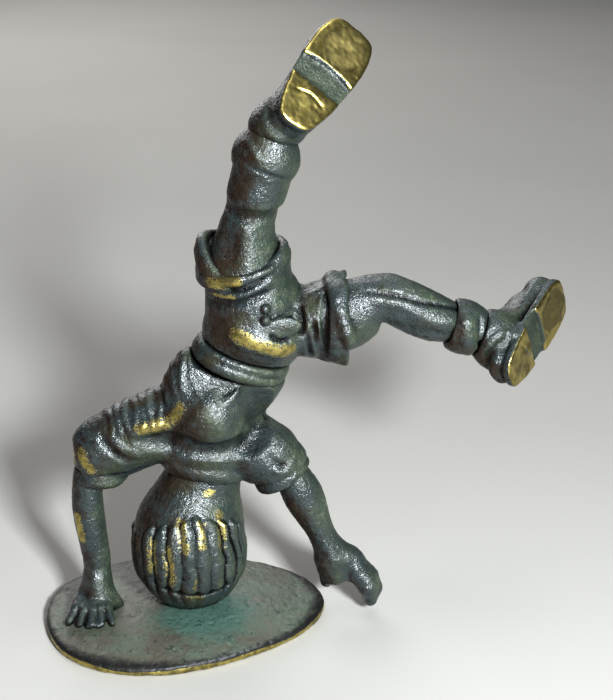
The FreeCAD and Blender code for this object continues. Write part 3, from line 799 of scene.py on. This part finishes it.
def lace_up(clay, sole):
    """Tongue, three bars of lace and the seam of the toe cap, on the side away from the sole."""
    def over(along, across):
        return clay.touch(sole.place(along, across, 9.0), sole.normal)

    for along in (0.48, 0.57, 0.66):
        clay.stroke(curve([over(along, -1.5), over(along + 0.01, 0), over(along, 1.5)]), 0.34, 0.22)
    cap = [over(0.80, -2.6), over(0.755, -1.3), over(0.745, 0), over(0.755, 1.3), over(0.80, 2.6)]
    clay.stroke(curve(cap), 0.34, -0.16)
    for side in (-1.75, 1.75):
        clay.stroke(curve([over(0.44, side), over(0.56, side), over(0.68, side)]), 0.34, -0.16)


def grind(piece, amount, name="worn", strength=1.6):
    """Raises an attribute of a finished piece by amount(points, normals)."""
    mesh = piece.data
    shape = (len(mesh.vertices), 3)
    points, normals = np.empty(shape, np.float32), np.empty(shape, np.float32)
    mesh.vertices.foreach_get("co", points.ravel())
    mesh.vertices.foreach_get("normal", normals.ravel())
    values = np.empty(shape[0], np.float32)
    mesh.attributes[name].data.foreach_get("value", values)
    values = np.maximum(values, strength * amount(points / MM, normals))
    mesh.attributes[name].data.foreach_set("value", values.astype(np.float32))


def mark_sole(piece, sole):
    """Bright where the sole has been ground flat, dull on the ball of the foot, dark at the waist."""
    def ground(points, normals):
        depth = sole.level - points @ sole.normal
        along = ((points - sole.middle) @ sole.toe - sole.heel_end) / (sole.toe_end - sole.heel_end)
        across = np.abs((points - sole.middle) @ sole.side)
        inner = smooth((0.22 - np.abs(along - 0.48)) / 0.04) * smooth((2.7 - across) / 0.4)
        edge = smooth((0.32 - 0.20 * inner - depth) / (0.16 - 0.08 * inner))
        return edge * smooth((normals @ sole.normal - 0.4 - 0.52 * inner) / (0.3 - 0.24 * inner))

    def ball(points, normals):
        offset = points - sole.place(0.78, 0)
        gap = np.hypot((offset @ sole.toe) / 2.9, (offset @ sole.side) / 2.7)
        return ground(points, normals) * smooth((1.0 - gap) / 0.35)

    def waist(points, normals):
        depth = sole.level - points @ sole.normal
        return smooth((depth - 0.12) / 0.1) * smooth((normals @ sole.normal - 0.15) / 0.3)

    grind(piece, ground, strength=2.2)
    grind(piece, ball, "green", 1.0)
    grind(piece, waist, "green", 0.55)
    grind(piece, waist, "hollow", 0.40)


# ---- arms and hands ----

def make_right_forearm(bronze):
    """Forearm that flattens into a hand spread on the plate."""
    clay = Clay("right_forearm", HAND_CELL)
    clay.plug("right_elbow_dowel")
    clay.rub(clay.trail("left", [(0.6, 0.53), (0.62, 0.68)]), 0.65, 1.3)
    wrist = clay.share(0.66, 0.66, 0.16)
    clay.melt(clay.share(0.55, 0.4, 0.06), 3.0)
    clay.cut_lump(clay.share(0.5, -0.05, 0.34), (6.0, 3.6, 4.8), 0.4)
    clay.add_cone(wrist + np.array([0, 0, 1.2]), wrist + np.array([0, -0.9, -1.0]), 1.55, 1.3, 0.6)
    clay.add_cone(wrist + np.array([0.2, 0, 0.6]), clay.share(1.02, 0.62, 0.02), 1.1, 0.95, 1.2)
    tips = ((0.09, 0.22), (0.29, 0.11), (0.51, 0.07), (0.70, 0.07), (0.89, 0.05))
    roots = ((0.40, 0.60), (0.48, 0.56), (0.57, 0.54), (0.66, 0.55), (0.77, 0.60))
    for root, tip in zip(roots, tips):
        start, end = clay.share(*root, 0.11), clay.share(*tip, 0.045)
        knuckle = start * 0.5 + end * 0.5 + np.array([0, 0, 0.12])
        clay.add_cone(start, knuckle, 0.8, 0.58, 0.35)
        clay.add_cone(knuckle, end, 0.58, 0.4, 0.3)
    return clay.finish(bronze, "right_hand_and_forearm")


def make_left_forearm(bronze):
    """Forearm with a hand like a mitten: the fingers held together and curled, the thumb apart."""
    clay = Clay("left_forearm", HAND_CELL)
    clay.plug("left_elbow_dowel")
    palm, knuckles = clay.share(0.74, 0.5, 0.3), clay.share(0.9, 0.47, 0.185)
    bend, tips = clay.share(0.955, 0.47, 0.115), clay.share(0.935, 0.47, 0.035)
    clay.melt(knuckles, 4.2, passes=40)
    clay.add_cone(palm, knuckles, 1.7, 1.45, 0.9)
    clay.add_cone(knuckles, bend, 1.45, 1.2, 0.7)
    clay.add_cone(bend, tips, 1.2, 0.75, 0.6)
    clay.add_cone(clay.share(0.52, 0.52, 0.33), clay.share(0.52, 0.58, 0.19), 1.6, 0.8, 0.8)
    clay.cut_lump(clay.share(0.72, -0.34, 0.24), (3.2, 3.8, 3.8), 0.9)
    clay.cut_lump(clay.share(1.08, 0.47, -0.03), (1.4, 5.0, 1.7), 0.4)
    clay.melt(clay.share(0.74, 0.2, 0.26), 4.0, passes=30)
    clay.add_cone(clay.share(0.78, 0.3, 0.27), clay.share(0.9, 0.26, 0.16), 0.7, 0.95, 0.8)
    clay.add_cone(clay.share(0.9, 0.26, 0.16), clay.share(0.925, 0.34, 0.06), 0.95, 0.75, 0.5)
    clay.cut_lump(clay.share(0.7, 0.47, 0.045), (1.45, 4.5, 3.0), 0.3)
    clay.line("back", [(0.3, 0.72), (0.42, 0.52), (0.6, 0.34)], 1.2, 0.18)
    return clay.finish(bronze, "left_hand_and_forearm")


# ---- head ----

HEAD_MIDDLE = (0.50, 0.455, 0.365)   # shares of the head's box
RIB_TURN = 15.0                       # degrees from one lock of hair to the next
RIB_HEIGHT = 0.52
HAIR_LIFT = 0.26                      # how far the hair stands off the skin
HAIRLINE_TURNS = (0, 55, 85, 100, 118, 180)
HAIRLINE_HEIGHTS = (6.9, 4.9, 2.6, -0.4, -2.6, -3.2)


def hair_relief(points, middle):
    """Thick locks that run from the crown to a scalloped hairline."""
    x, y, z = (points - middle).T
    turn = np.degrees(np.arctan2(x, -y))
    place = turn / RIB_TURN + 0.28 * lumps(points, 3.2, 11) + 0.12 * lumps(points, 1.2, 12)
    across = place - np.floor(place)
    lock = 1 - (2 * across - 1) ** 2
    uneven = 0.8 + 0.35 * lattice(np.stack([np.floor(place)] * 3, -1).astype(np.int64), 5)
    hairline = np.interp(np.abs(turn), HAIRLINE_TURNS, HAIRLINE_HEIGHTS)
    hairline = hairline + 0.9 * (lock - 0.6) * uneven
    cover = smooth((hairline - z) / 0.7)
    crown = smooth((z + 4.6) / 2.4)
    pole = smooth(np.hypot(x, y) / 2.6)
    depth = pole * (0.35 + 0.65 * crown) * uneven
    return cover * (HAIR_LIFT + RIB_HEIGHT * (lock - 0.55) * depth)


def hair_wear(clay, middle):
    """The tops of the locks that hands have rubbed bright."""
    rubbed = [([(-4.6, 3.4), (-4.6, 0.0)], 0.85), ([(-2.9, 3.0), (-2.7, -0.8)], 0.90),
              ([(-1.4, 6.1), (-1.1, 3.2)], 0.75), ([(0.9, 5.8), (0.9, 3.4)], 0.70),
              ([(3.2, 6.2), (3.1, 3.0)], 0.75), ([(0.0, -0.9), (-0.1, -1.9)], 0.45),
              ([(2.8, -1.2), (2.7, -2.2)], 0.45), ([(-0.9, -3.2), (0.6, -3.4)], 0.40)]
    for offsets, radius in rubbed:
        clay.rub(clay.mark("back", middle, offsets), radius, 0.92)
    clay.rub(clay.mark("back", middle, [(1.7, 8.8), (2.6, 8.9)]), 0.55, 0.8)


def eye(clay, middle, side):
    """A closed-mouthed child's open eye under a soft brow. Side is -1 or 1."""
    def path(offsets):
        return clay.mark("front", middle, [(side * a, b) for a, b in offsets])

    place = path([(2.0, 0.6), (2.1, 0.6)])[0]
    clay.dab(place, 2.0, -0.42)
    clay.add_lump(place + np.array([0, -0.75, 0]), (1.0, 0.8, 0.72), 0.15)
    clay.stroke(path([(3.1, 0.75), (2.0, -0.15), (0.95, 0.75)]), 0.36, 0.24)
    clay.stroke(path([(2.9, 0.85), (2.0, 1.35), (1.1, 0.95)]), 0.3, 0.14)
    clay.stroke(path([(3.2, 0.2), (2.0, -0.6), (1.0, 0.2)]), 0.3, -0.12)
    clay.stroke(path([(3.4, -0.9), (2.2, -1.5), (0.9, -1.0)]), 0.85, 0.22)


def nose(clay, middle):
    """Short straight nose with small wings."""
    clay.scribe("front", middle, [(0, -0.4), (0, 0.9), (0, 2.2)], 1.05, 0.36)
    for side in (-1, 1):
        wing = clay.mark("front", middle, [(side * 0.66, 2.7), (side * 0.7, 2.8)])[0]
        clay.add_lump(wing + np.array([0, -0.25, 0]), (0.42, 0.5, 0.4), 0.25)
        clay.dab(clay.mark("front", middle, [(side * 0.4, 3.1), (side * 0.4, 3.2)])[0], 0.36, -0.24)


def mouth_and_chin(clay, middle):
    """Closed, level lips over a round chin."""
    chin = middle + np.array([0, 4.0, 5.9])
    clay.add_lump(chin, (2.3, 2.0, 1.5), 1.2)
    clay.scribe("front", middle, [(0, 3.5), (0, 4.2)], 0.4, -0.12)
    clay.scribe("front", middle, [(-1.25, 4.85), (-0.4, 4.5), (0, 4.58), (0.4, 4.5),
                                  (1.25, 4.85)], 0.48, 0.26)
    clay.scribe("front", middle, [(-1.4, 5.0), (0, 4.95), (1.4, 5.0)], 0.26, -0.3, sharp=True)
    clay.scribe("front", middle, [(-0.95, 5.35), (0, 5.45), (0.95, 5.35)], 0.52, 0.3)
    for side in (-1, 1):
        cheek = clay.mark("front", middle, [(side * 3.0, 3.4), (side * 3.1, 3.4)])[0]
        clay.dab(cheek, 2.3, 0.3)


def ear(clay, middle, side):
    """Rim, hollow and lobe of one ear."""
    centre = middle + np.array([side * 6.0, 1.9, 1.6])
    view = "right" if side > 0 else "left"
    clay.dab(clay.mark(view, centre, [(0.1, 0.1), (0.1, 0.2)])[0], 0.85, -0.45)
    clay.scribe(view, centre, [(0.6, -0.6), (0.1, -1.3), (-0.8, -0.5), (-0.7, 0.6),
                               (0.1, 1.2)], 0.42, 0.24)


def make_head(bronze):
    clay = Clay("head", HEAD_CELL)
    clay.plug("crown_dowel")
    middle = clay.share(*HEAD_MIDDLE)
    mouth_and_chin(clay, middle)
    nose(clay, middle)
    for side in (-1, 1):
        eye(clay, middle, side)
        ear(clay, middle, side)
    clay.press(lambda points: hair_relief(points, middle))
    clay.scribe("back", middle, [(-5.0, -1.6), (-2.6, -2.4), (0, -2.9), (3.0, -2.7),
                                 (5.2, -1.8)], 0.6, -0.26)
    hair_wear(clay, middle)
    return clay.finish(bronze, "child_head")


# ---- plate ----

def make_plate(patina):
    """Thin domed plate, pitted on top, with its lower edge ground bright."""
    clay = Clay("base_plate", BODY_CELL)
    clay.press(plate_relief)
    piece = clay.finish(patina, "oval_plate", grain=1.3)
    crown = dowel_ends("crown_dowel")[1]

    def rim(points, normals):
        height = RIM_HEIGHT + 0.25 * lumps(points, 4.0, 22)
        return smooth((height - points[:, 2]) / 0.15) * smooth((0.75 - normals[:, 2]) / 0.3)

    def edge(points, normals):
        return smooth((1.75 - points[:, 2]) / 0.6) * smooth((normals[:, 2] + 0.2) / 0.2)

    def damp(points, normals):
        gap = np.hypot(points[:, 0] - crown[0] - 1.5, points[:, 1] - crown[1] + 3.5)
        return smooth((9.0 + 2.5 * lumps(points, 5.0, 23) - gap) / 6.0) * smooth(normals[:, 2])

    grind(piece, rim)
    grind(piece, edge, "hollow", 1.0)
    grind(piece, damp, "green", 1.0)
    return piece


def plate_relief(points):
    """Shallow unevenness and scattered pits, left by the mould, on the top of the plate."""
    top = smooth((points[:, 2] - 0.8) / 0.6)
    pits = np.clip(lumps(points, 0.8, 21) - 0.5, 0, 1)
    return top * (0.10 * lumps(points, 4.5, 20) + 0.03 * lumps(points, 1.4, 24) - 0.30 * pits)


# ---- materials ----

class Graph:
    """A node material, built one node at a time."""

    def __init__(self, name):
        self.material = bpy.data.materials.new(name)
        self.material.use_nodes = True
        self.tree = self.material.node_tree
        self.shader = self.tree.nodes["Principled BSDF"]
        self.coordinates = self.add("ShaderNodeTexCoord").outputs["Object"]

    def add(self, kind, inputs=None, **settings):
        """Adds a node. Inputs are joined where they are sockets, and set where they are values."""
        node = self.tree.nodes.new(kind)
        for key, value in settings.items():
            setattr(node, key, value)
        for key, value in (inputs or {}).items():
            self.feed(node.inputs[key], value)
        return node

    def feed(self, socket, value):
        """Joins a socket to another socket, or sets it."""
        if isinstance(value, bpy.types.NodeSocket):
            self.tree.links.new(value, socket)
        else:
            socket.default_value = value

    def shade(self, name, value):
        """Joins or sets an input of the surface shader."""
        self.feed(self.shader.inputs[name], value)

    def noise(self, size, detail=3.0, roughness=0.55):
        """Noise between about 0 and 1, with features of the size in millimetres."""
        return self.add("ShaderNodeTexNoise", {"Vector": self.coordinates, "Scale": 1 / (size * MM),
                                               "Detail": detail, "Roughness": roughness}).outputs[0]

    def attribute(self, name):
        """A number stored on the mesh."""
        return self.add("ShaderNodeAttribute", attribute_name=name).outputs["Fac"]

    def math(self, operation, a, b=0.0):
        """One sum of two values."""
        return self.add("ShaderNodeMath", {0: a, 1: b}, operation=operation).outputs[0]

    def lean(self, direction):
        """How far the surface faces a direction."""
        normal = self.add("ShaderNodeNewGeometry").outputs["Normal"]
        return self.add("ShaderNodeVectorMath", {0: normal, 1: direction},
                        operation="DOT_PRODUCT").outputs["Value"]

    def sum(self, *terms):
        """Sum of values, each alone or as (value, factor)."""
        total = None
        for term in terms:
            value = self.math("MULTIPLY", term[0], term[1]) if isinstance(term, tuple) else term
            total = value if total is None else self.math("ADD", total, value)
        return total

    def step(self, value, low, high, out_low=0.0, out_high=1.0):
        """Smooth rise from one level to another as the value goes from low to high."""
        node = self.add("ShaderNodeMapRange", {"Value": value, "From Min": low, "From Max": high,
                                               "To Min": out_low, "To Max": out_high},
                        interpolation_type="SMOOTHSTEP")
        return node.outputs["Result"]

    def mix(self, share, a, b, kind="RGBA", first=6, result=2):
        """Colour between a and b."""
        node = self.add("ShaderNodeMix", {0: share, first: a, first + 1: b}, data_type=kind)
        return node.outputs[result]

    def blend(self, share, a, b):
        """Number between a and b."""
        return self.mix(share, a, b, "FLOAT", 2, 0)

    def bump(self, height, strength, distance, normal=None):
        """Fine relief of the given height in millimetres."""
        inputs = {"Height": height, "Strength": strength, "Distance": distance * MM}
        if normal:
            inputs["Normal"] = normal
        return self.add("ShaderNodeBump", inputs).outputs["Normal"]


BRASS = (0.50, 0.42, 0.15, 1)
BRASS_DULL = (0.22, 0.185, 0.075, 1)
BLACK = (0.003, 0.003, 0.003, 1)
# The brown below is laid on the -X side as painted shade with a warm painted reflection, and at random
# elsewhere.
BROWN_AND_SHADE = (0.022, 0.012, 0.007, 1)
GUNMETAL = (0.019, 0.027, 0.028, 1)
VERDIGRIS = (0.030, 0.042, 0.024, 1)
PALE_GREEN = (0.120, 0.135, 0.095, 1)
PLATE_BROWN = (0.064, 0.058, 0.046, 1)
PLATE_GREEN = (0.070, 0.088, 0.066, 1)
TURQUOISE = (0.055, 0.100, 0.082, 1)
GREEN_SIDE = (0.80, -0.25, 0.10)      # the side of the figure on which the green has settled
BROWN_SHADE_SIDE = (-0.85, -0.20, -0.10)    # and the side painted brown and dark: painted shade with a warm painted reflection


def bronze_material():
    """Dark patina over brass: rubbed bright on high places, black in creases from patina deepened by
    painted shade (ambient occlusion), green where sheltered, browner on the -X side as painted shade with
    a warm painted reflection.
    """
    g = Graph(BRONZE_SLOT)
    broad, mid, fine = g.noise(4.0), g.noise(0.9, detail=5.0, roughness=0.65), g.noise(0.20, detail=2.0)
    hollow, ridge = g.attribute("hollow"), g.attribute("ridge")
    worn, green = g.attribute("worn"), g.attribute("green")
    open_sky = g.add("ShaderNodeAmbientOcclusion", {"Distance": 2.6 * MM}, samples=6).outputs["AO"]

    # Painted shade with a warm painted reflection: the patina turns brown on surfaces facing the -X side,
    # mixed with brown that falls at random.
    brown_and_shade_level = g.sum((g.lean(BROWN_SHADE_SIDE), 0.30), broad, (mid, 0.5))
    brown_and_shade = g.step(brown_and_shade_level, 0.76, 1.08)
    patina = g.mix(brown_and_shade, GUNMETAL, BROWN_AND_SHADE)
    patina = g.mix(g.step(g.sum((mid, 0.5), (fine, 0.5)), 0.50, 0.62), patina, BLACK)
    level = g.sum((g.lean(GREEN_SIDE), 0.42), (green, 0.7), (broad, 1.3), (mid, 0.4), (fine, 0.3),
                  (hollow, -0.4))
    green_mask = g.step(level, 0.90, 1.62)
    pale = g.step(g.sum((mid, 0.4), (fine, 0.5), (green_mask, 0.25)), 0.60, 0.95)
    verdigris = g.mix(pale, VERDIGRIS, PALE_GREEN)
    coat = g.mix(green_mask, patina, verdigris)
    # Black in the creases: the patina of the hollows, deepened by painted shade wherever the ambient
    # occlusion finds the skin closed in, also in the gaps between pieces.
    soot_and_shade = g.step(g.sum(hollow, (mid, 0.4), (open_sky, -1.4)), -0.98, -0.30)
    coat = g.mix(soot_and_shade, coat, BLACK)

    level = g.sum(worn, (fine, 2.2), (mid, 0.8), (ridge, 0.30), (hollow, -0.9))
    bare = g.math("MULTIPLY", g.step(level, 2.08, 2.22), g.step(worn, 0.25, 0.50))
    polished = g.step(worn, 1.3, 1.6)
    soft = g.noise(1.6, detail=1.5)
    dull = g.step(g.sum((g.blend(polished, mid, soft), 0.6), (broad, 0.4), (green, 0.5)), 0.40, 0.62)
    brass = g.mix(dull, BRASS, BRASS_DULL)

    g.shade("Base Color", g.mix(bare, coat, brass))
    g.shade("Metallic", g.blend(bare, 0.0, 1.0))
    gloss = g.step(g.sum((mid, 0.4), (fine, 0.6)), 0.38, 0.62, 0.19, 0.42)
    gloss = g.blend(green_mask, gloss, 0.50)
    shine = g.blend(polished, g.step(fine, 0.3, 0.7, 0.26, 0.45), g.step(soft, 0.35, 0.65, 0.28, 0.38))
    shine = g.math("ADD", shine, g.math("MULTIPLY", green, 0.15))
    g.shade("Roughness", g.blend(bare, gloss, shine))
    g.shade("Specular IOR Level", g.blend(soot_and_shade, g.blend(brown_and_shade, 0.65, 0.30), 0.1))
    depth = g.blend(bare, 0.8, g.blend(polished, 0.25, 0.15))
    relief = g.bump(g.noise(0.42, detail=3.0, roughness=0.6), depth, 0.12)
    fine_depth = g.blend(bare, 0.9, g.blend(polished, 0.3, 0.12))
    g.shade("Normal", g.bump(fine, fine_depth, 0.09, relief))
    return g.material


def plate_material():
    """Brown and green earthy patina with black specks, brass where the edge has been ground."""
    g = Graph(PLATE_SLOT)
    broad, mid, fine = g.noise(5.0), g.noise(1.2, detail=6.0, roughness=0.7), g.noise(0.26, detail=2.0)
    worn, green, hollow = g.attribute("worn"), g.attribute("green"), g.attribute("hollow")
    earth = g.mix(g.step(g.sum((broad, 0.8), (mid, 0.5)), 0.50, 0.80), PLATE_BROWN, PLATE_GREEN)
    earth = g.mix(g.step(g.sum(green, (mid, 0.8), (broad, 0.5)), 0.85, 1.75), earth, TURQUOISE)
    specks = g.step(g.sum((mid, 0.7), (fine, 0.5)), 0.66, 0.74)
    earth = g.mix(g.math("MULTIPLY", specks, 0.7), earth, BLACK)
    earth = g.mix(g.step(g.sum(hollow, (mid, 0.9)), 0.70, 1.50), earth, BLACK)
    bare = g.step(g.sum(worn, (mid, 0.9)), 1.10, 1.35)
    brass = g.mix(g.step(mid, 0.40, 0.60), BRASS, BRASS_DULL)
    g.shade("Base Color", g.mix(bare, earth, brass))
    g.shade("Metallic", bare)
    g.shade("Roughness", g.blend(bare, g.step(mid, 0.3, 0.7, 0.36, 0.56), 0.30))
    relief = g.bump(g.noise(0.55, detail=4.0, roughness=0.7), 0.8, 0.14)
    g.shade("Normal", g.bump(fine, 0.7, 0.06, relief))
    return g.material


def dowel_material():
    """Drawn brass rod with fine marks along it."""
    g = Graph("drawn_brass")
    marks = g.noise(0.3, detail=4.0)
    g.shade("Base Color", g.mix(g.step(marks, 0.4, 0.7), BRASS, BRASS_DULL))
    g.shade("Metallic", 1.0)
    g.shade("Roughness", g.step(marks, 0.3, 0.7, 0.25, 0.45))
    g.shade("Normal", g.bump(marks, 0.4, 0.03))
    return g.material


def floor_material():
    """Plain pale board with a faint mottle."""
    g = Graph("pale_floor")
    mottle = g.noise(60.0, detail=2.0)
    g.shade("Base Color", g.mix(mottle, PALER, PALE))
    g.shade("Roughness", 0.75)
    return g.material


# ---- studio ----

def middle_of_object():
    """Centre of the CAD box, in metres."""
    low, high = (Vector(corner) for corner in cad_box)
    return (low + high) / 2


def camera_axes():
    """The camera's forward, right and up directions."""
    turn, pitch = math.radians(VIEW_TURN), math.radians(VIEW_PITCH)
    forward = Vector((math.sin(turn) * math.cos(pitch), math.cos(turn) * math.cos(pitch),
                      -math.sin(pitch)))
    right = Vector((math.cos(turn), -math.sin(turn), 0))
    return forward, right, right.cross(forward)


def make_camera():
    forward, right, up = camera_axes()
    aim = middle_of_object() + right * VIEW_SHIFT * MM + up * VIEW_RISE * MM
    data = bpy.data.cameras.new("camera")
    data.lens = LENS
    data.sensor_width = SENSOR
    data.clip_start = 0.01
    camera = bpy.data.objects.new("camera", data)
    turn = Matrix((right, up, -forward)).transposed().to_4x4()
    camera.matrix_world = Matrix.Translation(aim - forward * VIEW_DISTANCE * MM) @ turn
    bpy.context.scene.collection.objects.link(camera)
    bpy.context.scene.camera = camera


def area_light(name, offset, size, power, colour=(1, 1, 1)):
    """Square soft light that faces the object. The offset is in object heights from its middle."""
    data = bpy.data.lights.new(name, "AREA")
    data.size = size
    data.energy = power
    data.color = colour
    light = bpy.data.objects.new(name, data)
    middle = middle_of_object()
    height = cad_box[1][2] - cad_box[0][2]
    light.location = middle + Vector(offset) * height
    light.rotation_euler = (middle - light.location).to_track_quat("-Z", "Y").to_euler()
    bpy.context.scene.collection.objects.link(light)


def make_studio():
    mesh = bpy.data.meshes.new("floor")
    corners = [(x * FLOOR_REACH, y * FLOOR_REACH, 0) for x, y in ((-1, -1), (1, -1), (1, 1), (-1, 1))]
    mesh.from_pydata(corners, [], [(0, 1, 2, 3)])
    mesh.materials.append(floor_material())
    floor = bpy.data.objects.new("floor", mesh)
    bpy.context.scene.collection.objects.link(floor)
    for name, settings in LIGHTS.items():
        area_light(name, *settings)
    world = bpy.data.worlds.new("studio")
    world.use_nodes = True
    sky = world.node_tree.nodes["Background"].inputs
    sky["Color"].default_value = SKY
    sky["Strength"].default_value = SKY_STRENGTH
    bpy.context.scene.world = world
    view = bpy.context.scene.view_settings
    view.view_transform = "Standard"
    view.exposure = EXPOSURE
    view.gamma = GAMMA


def main():
    bronze = bronze_material()
    for make in (make_torso, make_waistband, make_shorts, make_right_leg, make_left_leg,
                 make_right_sock, make_left_sock):
        make(bronze)
    make_shoe(bronze, "right_shoe", "right_ankle_dowel", "right_lace_up",
              [(0.12, 0.34), (0.08, 0.24), (0.12, 0.13), (0.20, 0.08), (0.27, 0.04)])
    make_shoe(bronze, "left_shoe", "left_ankle_dowel", "left_lace_up",
              [(0.04, 0.35), (0.12, 0.52), (0.20, 0.60), (0.35, 0.62)])
    for make in (make_right_forearm, make_left_forearm, make_head):
        make(bronze)
    make_plate(plate_material())
    brass = dowel_material()
    for name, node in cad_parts.items():
        if name.endswith("_dowel"):
            node.data.materials.clear()
            node.data.materials.append(brass)
    make_camera()
    make_studio()


main()
